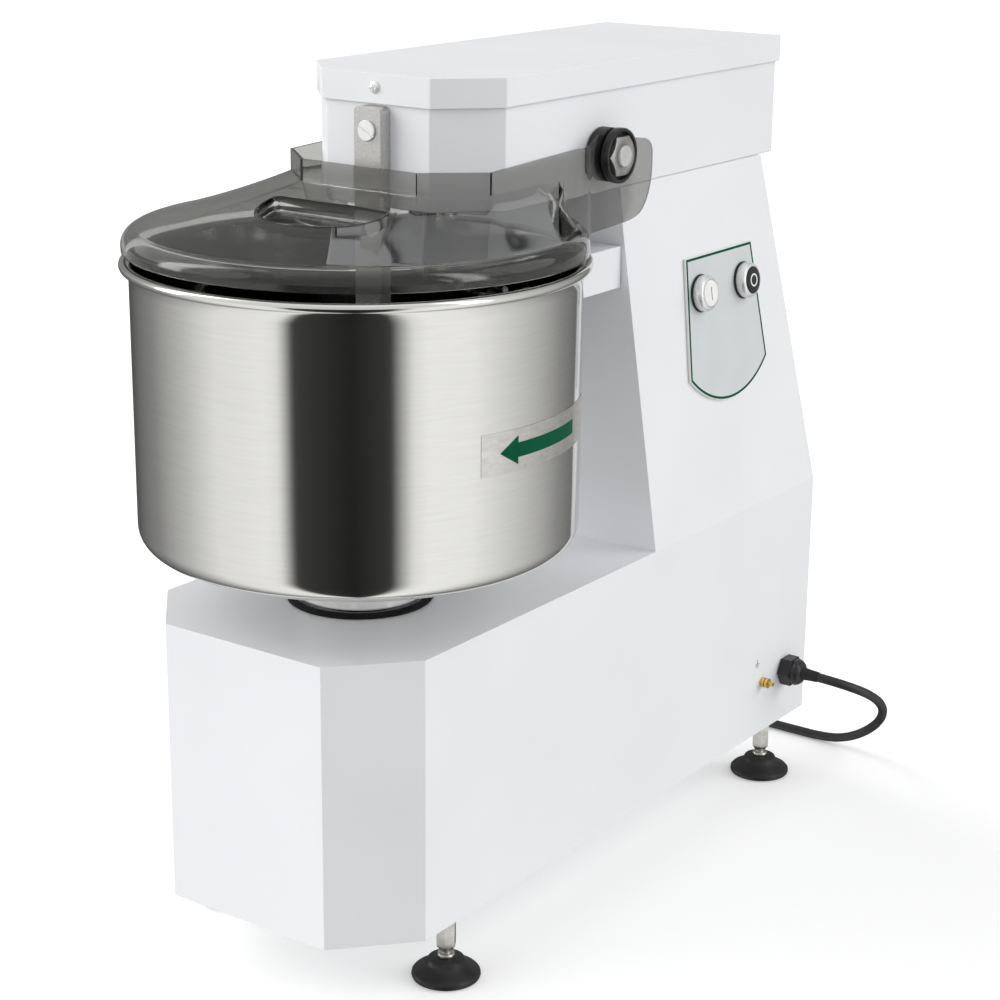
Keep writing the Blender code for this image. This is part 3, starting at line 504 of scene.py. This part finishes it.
def guard_samples():
    """Plan of the guard from its right rear round the front: a circle below, the collar above."""
    rear = GUARD_REAR_Y - BOWL_Y
    opening = math.degrees(math.asin(rear / 0.2095))
    collar = [(COLLAR_HALF_W, rear), (COLLAR_HALF_W, COLLAR_CORNER_Y - BOWL_Y),
              (COLLAR_FRONT_HALF_W, COLLAR_FRONT_Y - BOWL_Y)]
    collar += [(-x, y) for x, y in reversed(collar)]
    angles = [opening, -8, -52, -128, -172, -180 - opening]
    counts = [26, 20, 34, 20, 26]
    samples = []
    for i, count in enumerate(counts):
        for k in range(count + (i == len(counts) - 1)):
            t = k / count
            turn = math.radians(angles[i] + (angles[i + 1] - angles[i]) * t)
            inner = Vector(collar[i]).lerp(Vector(collar[i + 1]), t)
            samples.append((Vector((math.cos(turn), math.sin(turn))), inner))
    return samples


def guard_rows():
    """Rows of points from the lower edge over the shoulder and roof to the top of the collar."""
    samples = guard_samples()
    rows = []
    shoulder = [(GUARD_EDGE_R, GUARD_EDGE_Z)] + arc((0.1925, 0.6715), 0.017, -8, 82, 14)
    for radius, z in shoulder:
        lift = GUARD_EDGE_RISE * max(0.0, (0.6885 - z) / 0.0225)
        rows.append([(*(out * radius), z + lift * max(0.0, 0.3 - 0.7 * out.y)) for out, _ in samples])
    last_r, last_z = shoulder[-1]
    for k in range(1, 25):
        t = k / 24
        z = last_z + (COLLAR_FOOT_Z - last_z) * (0.55 * t + 0.45 * (0.30 * t + 0.70 * t * t))
        row = []
        for out, inner in samples:
            p = (out * last_r).lerp(inner, t)
            row.append((p.x, p.y, z))
        rows.append(row)
    for z in COLLAR_HEIGHTS:
        rows.append([(inner.x, inner.y, z) for _, inner in samples])
    return rows


def guard_skin():
    """The moulded sheet and a tree of its upper surface."""
    rows = guard_rows()
    bm = bmesh.new()
    grid = [[bm.verts.new(p) for p in row] for row in rows]
    for low, high in zip(grid, grid[1:]):
        for i in range(len(low) - 1):
            bm.faces.new((low[i], low[i + 1], high[i + 1], high[i]))
    bmesh.ops.recalc_face_normals(bm, faces=bm.faces)
    if sum(face.normal.z for face in bm.faces) < 0:
        bmesh.ops.reverse_faces(bm, faces=bm.faces)
    bm.normal_update()
    surface = BVHTree.FromBMesh(bm)
    outer = list(bm.verts)
    normals = [v.normal.copy() for v in outer]
    edges = [e for e in bm.edges if e.is_boundary]
    faces = list(bm.faces)
    twin = {v: bm.verts.new(v.co - n * GUARD_SHEET) for v, n in zip(outer, normals)}
    for face in faces:
        bm.faces.new([twin[v] for v in reversed(face.verts)])
    for edge in edges:
        a, b = edge.verts
        bm.faces.new((a, b, twin[b], twin[a]))
    return bm, surface


def grip_outline(grow):
    """Finger grip in plan: straight far edge, rounded corners and a deep arc towards the operator."""
    half_w, far, corner = GRIP_HALF_W, GRIP_FAR, 0.005
    points = []
    for k in range(41):
        a = math.pi * k / 40
        reach = (GRIP_DEPTH - corner + grow) * math.sin(a) ** 0.85
        points.append(((half_w + grow) * math.cos(a), far - corner - reach))
    right = arc((half_w - corner, far - corner), corner + grow, 90, 0, 6)
    left = [(-x, y) for x, y in reversed(right)]
    return [(x + GRIP_X, y) for x, y in right + points[1:-1] + left]


def grip_cup(surface):
    """Pressed cup with a fine bead round its mouth, following the roof."""
    steps = [(-0.050, 0.0116), (-0.034, 0.0118), (-0.018, 0.0120), (-0.0060, 0.0118), (-0.0036, 0.0110),
             (-0.0020, 0.0090), (-0.0012, 0.0060), (-0.0006, 0.0020), (-0.0002, -0.0001), (0.0004, -0.0005),
             (0.0012, -0.0005), (0.0017, 0.0001), (0.0020, 0.0010), (0.0022, 0.0040), (0.0018, 0.0092),
             (0.0006, 0.0122), (-0.0036, 0.0142), (-0.018, 0.0150), (-0.034, 0.0148), (-0.050, 0.0146)]
    centre = Vector((GRIP_X, GRIP_FAR - 0.45 * GRIP_DEPTH))
    rings = []
    for grow, depth in steps:
        ring = []
        for x, y in grip_outline(max(grow, -0.004)):
            if grow < -0.004:
                inwards = (-0.004 - grow) / 0.060
                x, y = Vector((x, y)).lerp(centre, inwards * 1.2)
            hit = surface.ray_cast(Vector((x, y, 1.0)), Vector((0, 0, -1)))[0]
            ring.append((x, y, hit.z - depth))
        rings.append(ring)
    return loft(rings)


def ear_sheet(side):
    """Side sheet: runs back from the collar, steps outwards and ends in a rounded ear at the pivot."""
    half = 0.0015
    plan = [(0.1142, -0.1475), (0.1142, -0.018), (0.1150, -0.0145), (0.1182, -0.0105), (0.1210, -0.0075),
            (0.122, -0.004), (0.122, 0.110)]
    left = [(x - half, y) for x, y in plan]
    right = [(x + half, y) for x, y in plan]
    outline = [(side * x, y) for x, y in left + right[::-1]]
    sheet = add("ear", prism(outline, 0.650, 0.770), None, None)
    rounded = [(-0.148, 0.7183), (-0.046, 0.7183), (-0.040, 0.664), (0.000, 0.6655), (0.050, 0.6677)]
    rounded += [(0.062, 0.6684), (0.073, 0.6705), (0.0800, 0.6730), (0.0853, 0.6768), (0.0910, 0.6830),
                (0.0953, 0.6910), (0.0981, 0.6990), (0.0999, 0.7070), (0.1007, 0.7160), (0.1008, 0.7242),
                (0.1003, 0.7315), (0.0983, 0.7370), (0.0940, 0.7412), (0.0870, 0.7440), (0.0067, 0.7557),
                (-0.010, 0.7445), (-0.148, 0.7392)]
    turn = Matrix(((0, 0, 1), (1, 0, 0), (0, 1, 0)))
    combine(sheet, add("ear_cut", prism(rounded, -0.2, 0.2), None, None, turn=turn), "INTERSECT")
    bore = [(0, -0.2), (0.0106, -0.2), (0.0106, 0.2), (0, 0.2)]
    hole = add("ear_bore", turned(bore, 48), None, None, PIVOT, along((1, 0, 0)))
    return combine(sheet, hole, "DIFFERENCE")


def make_guard(mats):
    skin, surface = guard_skin()
    guard = add("guard_sheet", skin, mats["smoke"], None, (0, BOWL_Y, 0))
    mouth = add("mouth", prism(grip_outline(0.0010), 0.60, 0.75), None, None, (0, BOWL_Y, 0))
    combine(guard, mouth, "DIFFERENCE")
    combine(guard, add("cup", grip_cup(surface), None, None, (0, BOWL_Y, 0)), "UNION")
    for side in (-1, 1):
        combine(guard, ear_sheet(side), "UNION")
    guard.data.materials.clear()
    guard.data.materials.append(mats["smoke"])
    guard.visible_diffuse = False
    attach(guard, "guard_unit")
    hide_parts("guard")

    for name, side in (("left", -1), ("right", 1)):
        turn = along((side, 0, 0))
        washer = [(0.0108, 0.1067), (0.0240, 0.1067), (0.0252, 0.1080), (0.0252, 0.1190), (0.0240, 0.1200),
                  (0.0108, 0.1200)]
        add("hinge_spacer_" + name, turned(washer, 72), mats["rubber"], "guard_unit", PIVOT, turn)
        cup = [(0.0106, 0.1240), (0.0248, 0.1240), (0.0258, 0.1248), (0.0260, 0.1305), (0.0254, 0.1320),
               (0.0240, 0.1326), (0.0226, 0.1320), (0.0220, 0.1308), (0.0218, 0.1270), (0.0106, 0.1270)]
        add("hinge_knob_" + name, turned(cup, 96), mats["plastic"], "guard_unit", PIVOT, turn,
            hides=["pivot_knob_" + name])
        hexagon = prism(polygon(6, 0.0180, math.radians(30)), 0.1272, 0.1345)
        nut = add("hinge_nut_" + name, hexagon, None, None, PIVOT, turn)
        dome = [(0.0103, 0.1271), (0.0213, 0.1271), (0.0213, 0.1315), (0.0177, 0.1340), (0.0150, 0.1345),
                (0.0130, 0.1342), (0.0112, 0.1333), (0.0103, 0.1332)]
        combine(nut, add("nut_round", turned(dome, 96), None, None, PIVOT, turn), "INTERSECT")
        nut.data.materials.clear()
        nut.data.materials.append(mats["nut"])
        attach(nut, "guard_unit")
        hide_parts("pivot_nut_" + name)
        bolt = [(0, 0.0885), (0.0100, 0.0885), (0.0100, 0.1352), (0.0094, 0.1360), (0, 0.1362)]
        add("hinge_bolt_" + name, turned(bolt, 48), mats["pale_metal"], "guard_unit", PIVOT, turn,
            hides=["pivot_bolt_" + name])


# ---------------------------------------------------------------- controls

def panel_frame():
    up = Vector((HEAD_HALF_W - BASE_HALF_W, 0, COLUMN_TOP - BASE_TOP)).normalized()
    back = Vector((0, 1, 0))
    return Matrix((back, up, back.cross(up))).transposed()


def on_panel(y, z):
    lean = (z - BASE_TOP) / (COLUMN_TOP - BASE_TOP)
    return Vector((BASE_HALF_W + (HEAD_HALF_W - BASE_HALF_W) * lean, y, z))


def panel_outline():
    """Straight top and sides with a rounded foot, about the middle between the buttons."""
    top, left, right = 0.038, -0.066, 0.0645
    return [(left, top)] + arc((0.0036, -0.0069), 0.1101, 225.4, 314.3, 41) + [(right, top)]


def inset(outline, amount):
    """Outline moved inwards by an amount; corners are mitred. The outline runs counter-clockwise."""
    result = []
    count = len(outline)
    for i in range(count):
        a, b, c = (Vector(outline[(i + k) % count]) for k in (-1, 0, 1))
        n1 = Vector((-(b - a).y, (b - a).x)).normalized()
        n2 = Vector((-(c - b).y, (c - b).x)).normalized()
        mitre = (n1 + n2).normalized()
        result.append(tuple(b + mitre * amount / max(0.35, mitre.dot(n1))))
    return result


def make_panel(mats):
    turn, centre = panel_frame(), on_panel(PANEL_Y, BUTTON_Z)
    outline = panel_outline()
    NODES["control_panel"].data.materials.clear()
    NODES["control_panel"].data.materials.append(mats["panel_edge"])
    soften("control_panel", 0.0004, 2)
    outer, inner = inset(outline, 0.0010), inset(outline, 0.0035)
    back, film_face, border_face = 0.0030, 0.00315, 0.00325
    bm = bmesh.new()
    rows = []
    for ring, z in ((outer, back), (outer, border_face), (inner, border_face), (inner, back)):
        rows.append([bm.verts.new((x, y, z)) for x, y in ring])
    rows.append(rows[0])
    for a, b in zip(rows, rows[1:]):
        for i in range(len(a)):
            j = (i + 1) % len(a)
            bm.faces.new((a[i], a[j], b[j], b[i]))
    add("panel_border", bm, mats["green"], "frame", centre, turn)
    film = add("panel_film", prism(inner, back, film_face), mats["panel"], "frame", centre, turn)
    for side in (-0.5, 0.5):
        hole = [(0, -0.01), (0.0126, -0.01), (0.0126, 0.01), (0, 0.01)]
        place = on_panel(PANEL_Y + side * BUTTON_SPACING, BUTTON_Z)
        combine(film, add("film_hole", turned(hole, 48), None, None, place, turn), "DIFFERENCE")


def make_buttons(mats):
    turn = panel_frame()
    for name, side in (("start", -0.5), ("stop", 0.5)):
        place = on_panel(PANEL_Y + side * BUTTON_SPACING, BUTTON_Z)
        gasket = [(0.0143, 0.0033), (0.0190, 0.0033), (0.0193, 0.0037), (0.0193, 0.0044), (0.0188, 0.0049),
                  (0.0143, 0.0049)]
        add(name + "_gasket", turned(gasket, 72), mats["rubber"], "frame", place, turn)
        barrel = [(0.0142, 0.0051), (0.0178, 0.0051), (0.0183, 0.0057), (0.0184, 0.0098), (0.0180, 0.0122),
                  (0.0169, 0.0142), (0.0156, 0.0151), (0.0142, 0.0153)]
        add(name + "_collar", turned(barrel, 72), mats["satin"], "frame", place, turn,
            hides=[name + "_bezel"], smooth=60)
        cap = [(0, -0.010), (0.009, -0.010), (0.009, 0.0070), (0.0136, 0.0070), (0.0138, 0.0150),
               (0.0131, 0.0160), (0.0116, 0.0164), (0, 0.0164)]
        look = mats["cap_white"] if name == "start" else mats["plastic"]
        add(name + "_cap", turned(cap, 72), look, name + "_unit", place, turn, hides=[name + "_button"])
        if name == "start":
            bar = prism([(-0.00045, -0.0068), (0.00045, -0.0068), (0.00045, 0.0068), (-0.00045, 0.0068)],
                        0.0163, 0.0166)
            add("start_mark", bar, mats["mark_grey"], "start_unit", place, turn)
        else:
            ring = [(0.0052, 0.0163), (0.0068, 0.0163), (0.0068, 0.01665), (0.0052, 0.01665)]
            add("stop_mark", turned(ring, 64), mats["cap_white"], "stop_unit", place, turn)


# ---------------------------------------------------------------- small parts

def make_screws(mats):
    at, turn = (0, -0.170, 0.8063), along((0, -1, 0))
    head = [(0, 0.0003), (0.0055, 0.0003), (0.0055, 0.0010), (0.0047, 0.0021), (0.0032, 0.0027), (0, 0.0030)]
    screw = add("lid_screw_head", turned(head, 48), mats["bright"], None, at, turn)
    for angle in (20, 110):
        cross = block((-0.0005, -0.0032, 0.0014), (0.0005, 0.0032, 0.006))
        spin = Matrix.Rotation(math.radians(angle), 3, "Z")
        combine(screw, add("cross", cross, mats["steel"], None, at, turn @ spin), "DIFFERENCE")
    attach(screw, "frame")
    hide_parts("lid_screw")


def make_head_gasket(mats):
    """Pale strip between the column and the head, just inside the seam."""
    half, z = HEAD_HALF_W - 0.0012, COLUMN_TOP
    add("head_gasket", block((-half, 0.0715, z - 0.0024), (half, 0.3400, z + 0.0016)), mats["white"], "frame")


def make_gland(mats):
    turn = along((1, 0, 0))
    corners = polygon(6, 0.0150, math.radians(30))
    smaller = polygon(6, 0.0140, math.radians(30))
    body = loft([[(x, y, 0.0003) for x, y in smaller], [(x, y, 0.0012) for x, y in corners],
                 [(x, y, 0.0132) for x, y in corners], [(x, y, 0.0144) for x, y in smaller]])
    add("gland_hex", body, mats["plastic"], "frame", GLAND_AT, turn, hides=["cable_gland"])
    dome = [(0.0060, 0.0141), (0.0141, 0.0141), (0.0147, 0.0150), (0.0147, 0.0176), (0.0135, 0.0186),
            (0.0135, 0.0204), (0.0120, 0.0224), (0.0096, 0.0242), (0.0078, 0.0250), (0.0060, 0.0252)]
    add("gland_dome", turned(dome, 64), mats["plastic"], "frame", GLAND_AT, turn)
    sleeve = [(0.0054, 0.0200), (0.0072, 0.0200), (0.0072, 0.0252), (0.0066, 0.0300), (0.0060, 0.0380),
              (0.0057, 0.0430), (0.0054, 0.0435)]
    add("cord_relief", turned(sleeve, 48), mats["rubber"], "frame", GLAND_AT, turn)


def make_earth_mark(mats):
    """Plain earth symbol beside the brass terminal."""
    x, y, z = BASE_HALF_W, 0.2994, 0.1490
    strokes = [((-0.0004, 0.0006), (0.0004, 0.0058)), ((-0.0042, -0.0002), (0.0042, 0.0006)),
               ((-0.0028, -0.0021), (0.0028, -0.0013)), ((-0.0014, -0.0040), (0.0014, -0.0032))]
    bm = bmesh.new()
    for (y0, z0), (y1, z1) in strokes:
        part = block((x + 0.00003, y + y0, z + z0), (x + 0.00018, y + y1, z + z1))
        mesh = bpy.data.meshes.new("stroke")
        part.to_mesh(mesh)
        part.free()
        bm.from_mesh(mesh)
        bpy.data.meshes.remove(mesh)
    add("earth_mark", bm, mats["mark_grey"], "frame")


def make_feet(mats):
    places = {"front_left": (-0.133, -0.238), "front_right": (0.133, -0.238),
              "rear_left": (-0.133, 0.351), "rear_right": (0.133, 0.351)}
    pad = [(0, 0), (0.0300, 0), (0.0318, 0.0008), (0.0325, 0.0028), (0.0322, 0.0052), (0.0305, 0.0072),
           (0.0270, 0.0090), (0.0225, 0.0112), (0.0196, 0.0132), (0.0182, 0.0152), (0.0176, 0.0174),
           (0.0168, 0.0190), (0.0150, 0.0200), (0, 0.0202)]
    collar = [(0, 0.0203), (0.0080, 0.0203), (0.0083, 0.0210), (0.0083, 0.0235), (0.0078, 0.0243),
              (0.0052, 0.0247), (0.0052, 0.0262), (0.0070, 0.0286), (0.0085, 0.0312), (0, 0.0312)]
    for name, (x, y) in places.items():
        add("foot_rubber_" + name, turned(pad, 72), mats["rubber"], "foot_" + name, (x, y, 0),
            hides=["foot_pad_" + name], smooth=60)
        add("foot_collar_" + name, turned(collar, 48), mats["steel"], "foot_" + name, (x, y, 0),
            hides=["foot_stem_" + name])
        rings = []
        for radius, z in ((0.0078, 0.0310), (0.0085, 0.0322), (0.0085, 0.0630), (0.0078, 0.0642),
                          (0.0052, 0.0645), (0.0052, 0.0915)):
            rings.append([(px, py, z) for px, py in polygon(6, radius, math.radians(30))])
        add("foot_hex_" + name, loft(rings), mats["steel"], "foot_" + name, (x, y, 0))


def make_cord(mats):
    curve = bpy.data.curves.new("mains_cord", "CURVE")
    curve.dimensions = "3D"
    curve.bevel_depth = CORD_D / 2 - 0.00015
    curve.bevel_resolution = 4
    curve.use_fill_caps = True
    points = smooth_line(cord_route(), 0.008)
    spline = curve.splines.new("POLY")
    spline.points.add(len(points) - 1)
    for point, where in zip(spline.points, points):
        point.co = (*where, 1)
    curve.materials.append(mats["cord"])
    cord = bpy.data.objects.new("mains_cord", curve)
    SCENE.collection.objects.link(cord)
    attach(cord, "frame")
    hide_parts("cord_tube", "cord_coil")

    plug = [(0, 0.0), (0.0057, 0.0), (0.0060, 0.004), (0.0066, 0.010), (0.0080, 0.0215), (0.0120, 0.0235),
            (0.0158, 0.0270), (0.0175, 0.0325), (0.0180, 0.0360), (0.0180, 0.0520), (0.0172, 0.0555),
            (0.0160, 0.0560), (0, 0.0560)]
    at, turn = (-0.1116, 0.470, 0.0182), along((-1, 0, 0))
    body = add("plug_body", turned(plug, 64), mats["plastic"], "frame", at, turn, hides=["mains_plug"])
    for side in (-1, 1):
        pin = [(0, 0.0562), (0.0024, 0.0562), (0.0024, 0.0738), (0.0016, 0.0750), (0, 0.0750)]
        add("plug_pin_" + ("a" if side < 0 else "b"), turned(pin, 24), mats["steel"], "frame",
                        (at[0], at[1] + side * 0.0095, at[2]), turn)


def dress_nodes(mats):
    """A procedural material on every CAD node that stays, and softened folds on the sheet metal."""
    looks = {
        "white": ["body_shell", "bottom_plate", "rear_panel", "rear_shield", "head_box", "head_lid"],
        "blasted": ["breaker_bar"],
        "polished": ["spiral_hook"],
        "bright": ["breaker_screw"],
        "steel": ["bowl_shaft", "bowl_bearing_lower", "bowl_bearing_upper", "spiral_shaft",
                  "spiral_bearings", "drive_shaft", "motor_rotor"],
        "iron": ["bowl_bearing_housing", "spiral_bearing_housing", "drive_bearing"],
        "dark_steel": ["bowl_sprocket", "drive_sprocket_lower", "drive_sprocket_upper", "spiral_sprocket",
                       "bowl_chain", "spiral_chain"],
        "alloy": ["gearbox_casing", "motor_casing"],
        "bronze": ["worm_wheel"],
        "brass": ["earth_terminal"],
        "plastic": ["contact_block", "guard_cam", "guard_switch"],
    }
    for look, names in looks.items():
        for name in names:
            NODES[name].data.materials.clear()
            NODES[name].data.materials.append(mats[look])
    soften("body_shell", 0.0022)
    soften("rear_panel", 0.0006, 2)
    soften("rear_shield", 0.0012, 2)
    soften("head_box", 0.0014, 2)
    soften("head_lid", 0.0012, 3)
    soften("breaker_bar", 0.0008, 2)


# ---------------------------------------------------------------- studio

def studio_world():
    """Surroundings by kind of ray: white for the camera, a ramp by height for diffuse light, and for
    reflections two rings with a softbox on each side of a dark gap. Ring angles run from the camera."""
    world = bpy.data.worlds.new("studio")
    SCENE.world = world
    world.use_nodes = True
    world.cycles.sampling_method = "NONE"
    tree = world.node_tree
    link = tree.links.new

    where = tree.nodes.new("ShaderNodeTexCoord")
    spin = tree.nodes.new("ShaderNodeMapping")
    spin.inputs["Rotation"].default_value = (0, 0, math.radians(-CAMERA_BEARING))
    link(where.outputs["Generated"], spin.inputs["Vector"])
    split = tree.nodes.new("ShaderNodeSeparateXYZ")
    link(spin.outputs["Vector"], split.inputs["Vector"])
    around = math_node(tree, "ARCTAN2", split.outputs["Y"], split.outputs["X"])
    around = math_node(tree, "ADD", math_node(tree, "DIVIDE", around, math.tau), 0.5)

    def ring_of_light(stops):
        return colour_ramp(tree, around, [(angle / 360 + 0.5, (level, level, level * 0.985))
                                          for angle, level in stops])

    def above(start, end, under, over):
        span = tree.nodes.new("ShaderNodeMapRange")
        span.interpolation_type = "SMOOTHSTEP"
        span.inputs["From Min"].default_value = start
        span.inputs["From Max"].default_value = end
        link(split.outputs["Z"], span.inputs["Value"])
        return mixed(tree, span.outputs["Result"], under, over)

    low = ring_of_light([(-180, 0.09), (-155, 0.10), (-121, 0.29), (-93, 0.62), (-72, 0.96),
                         (-44, 1.06), (-37, 0.98), (-29, 0.05), (0, 0.018), (20, 0.045), (31, 0.95),
                         (39, 1.10), (62, 1.06), (86, 0.78), (111, 0.50), (127, 0.31), (150, 0.155),
                         (180, 0.09)])
    high = ring_of_light([(-180, 0.24), (-150, 0.27), (-120, 0.50), (-107, 0.90), (-103, 4.5),
                          (-91, 4.5), (-87, 0.95), (-60, 0.85), (0, 0.75), (52, 0.85), (56, 4.0),
                          (66, 4.0), (70, 0.85), (105, 0.60), (150, 0.27), (180, 0.24)])
    reflected = above(OVERHEAD_FROM, OVERHEAD_TO, above(HORIZON_FROM, HORIZON_TO, low, high), OVERHEAD)

    height = math_node(tree, "ADD", math_node(tree, "MULTIPLY", split.outputs["Z"], 0.5), 0.5)
    fill_stops = ((0.45, FILL_LOW), (0.55, FILL), (0.8, FILL_TOP))
    fill = colour_ramp(tree, height, [(at, (level, level, level)) for at, level in fill_stops])

    path = tree.nodes.new("ShaderNodeLightPath")
    mirrored = math_node(tree, "GREATER_THAN", path.outputs["Glossy Depth"], 0.5)
    direct = math_node(tree, "LESS_THAN", path.outputs["Diffuse Depth"], 0.5)
    scattered = math_node(tree, "GREATER_THAN", path.outputs["Diffuse Depth"], 0.5)
    lit = mixed(tree, scattered, (1, 1, 1), fill)
    chosen = mixed(tree, math_node(tree, "MULTIPLY", mirrored, direct), lit, reflected)
    link(chosen, tree.nodes["Background"].inputs["Color"])


def sun(name, relative, elevation, strength, spread):
    """Broad soft light from an angle to the right of the camera, kept out of reflections."""
    data = bpy.data.lights.new(name, "SUN")
    data.energy, data.angle = strength, math.radians(spread)
    lamp = bpy.data.objects.new(name, data)
    SCENE.collection.objects.link(lamp)
    turn, rise = math.radians(relative + CAMERA_BEARING), math.radians(elevation)
    source = Vector((math.cos(turn) * math.cos(rise), math.sin(turn) * math.cos(rise), math.sin(rise)))
    lamp.matrix_world = (-source).to_track_quat("-Z", "Y").to_matrix().to_4x4()
    lamp.visible_glossy = False


def make_studio():
    white = Shader("floor_white", (0.90, 0.90, 0.90), 0.8, Emission_Strength=FLOOR_GLOW)
    white.bsdf.inputs["Emission Color"].default_value = (1, 1, 1, 1)
    floor = add("floor", block((-40, -40, -0.02), (40, 40, 0)), white.mat, None)
    floor.visible_glossy = floor.visible_diffuse = False
    studio_world()
    sun("key_left", -82, 22, KEY_LEFT, 55)
    sun("key_right", 95, 26, KEY_RIGHT, 50)
    sun("key_back", -122, 32, KEY_BACK, 50)
    SCENE.view_settings.view_transform = "Standard"


def make_materials():
    return {
        "white": powder_coat(), "polished": polished_steel().mat, "bowl": bowl_steel(),
        "blasted": cast_steel("blasted_steel", 0.50), "nut": cast_steel("forged_nut", 0.33),
        "steel": machined_steel(), "satin": satin_silver(), "smoke": smoked_sheet(),
        "rubber": black_rubber(), "plastic": black_plastic(), "cord": cord_rubber(), "film": label_film(),
        "pale_metal": plain("pale_metal", (0.62, 0.62, 0.62), 0.45, 0.5),
        "bright": plain("bright_zinc", (0.86, 0.86, 0.85), 0.30, 0.45, 200, 0.05),
        "iron": plain("cast_iron", (0.10, 0.10, 0.10), 0.6, 0.5),
        "dark_steel": plain("dark_steel", (0.05, 0.05, 0.05), 0.4, 0.8),
        "alloy": plain("cast_alloy", (0.45, 0.45, 0.46), 0.5, 0.8),
        "bronze": plain("bronze", (0.50, 0.30, 0.12), 0.35, 1.0),
        "brass": plain("brass", (0.72, 0.50, 0.16), 0.28, 1.0, 140, 0.2),
        "seal": plain("seal_rubber", (0.010, 0.010, 0.010), 0.6, Specular_IOR_Level=0.1),
        "green": plain("green_print", (0.001, 0.080, 0.038), 0.45, Specular_IOR_Level=0.06),
        "panel": plain("panel_grey", (0.615, 0.64, 0.645), 0.30, 0.0, 30, 0.02),
        "panel_edge": plain("panel_edge", (0.80, 0.81, 0.79), 0.30, 0.0, 30, 0.03),
        "cap_white": plain("cap_white", (0.84, 0.84, 0.83), 0.30, 0.0, 120, 0.04),
        "mark_grey": plain("mark_grey", (0.16, 0.16, 0.16), 0.5),
    }


def main():
    make_camera()
    mats = make_materials()
    make_cord(mats)
    make_bowl(mats)
    make_arrow(mats)
    make_guard(mats)
    make_panel(mats)
    make_buttons(mats)
    make_screws(mats)
    make_head_gasket(mats)
    make_gland(mats)
    make_earth_mark(mats)
    make_feet(mats)
    dress_nodes(mats)
    make_studio()


main()
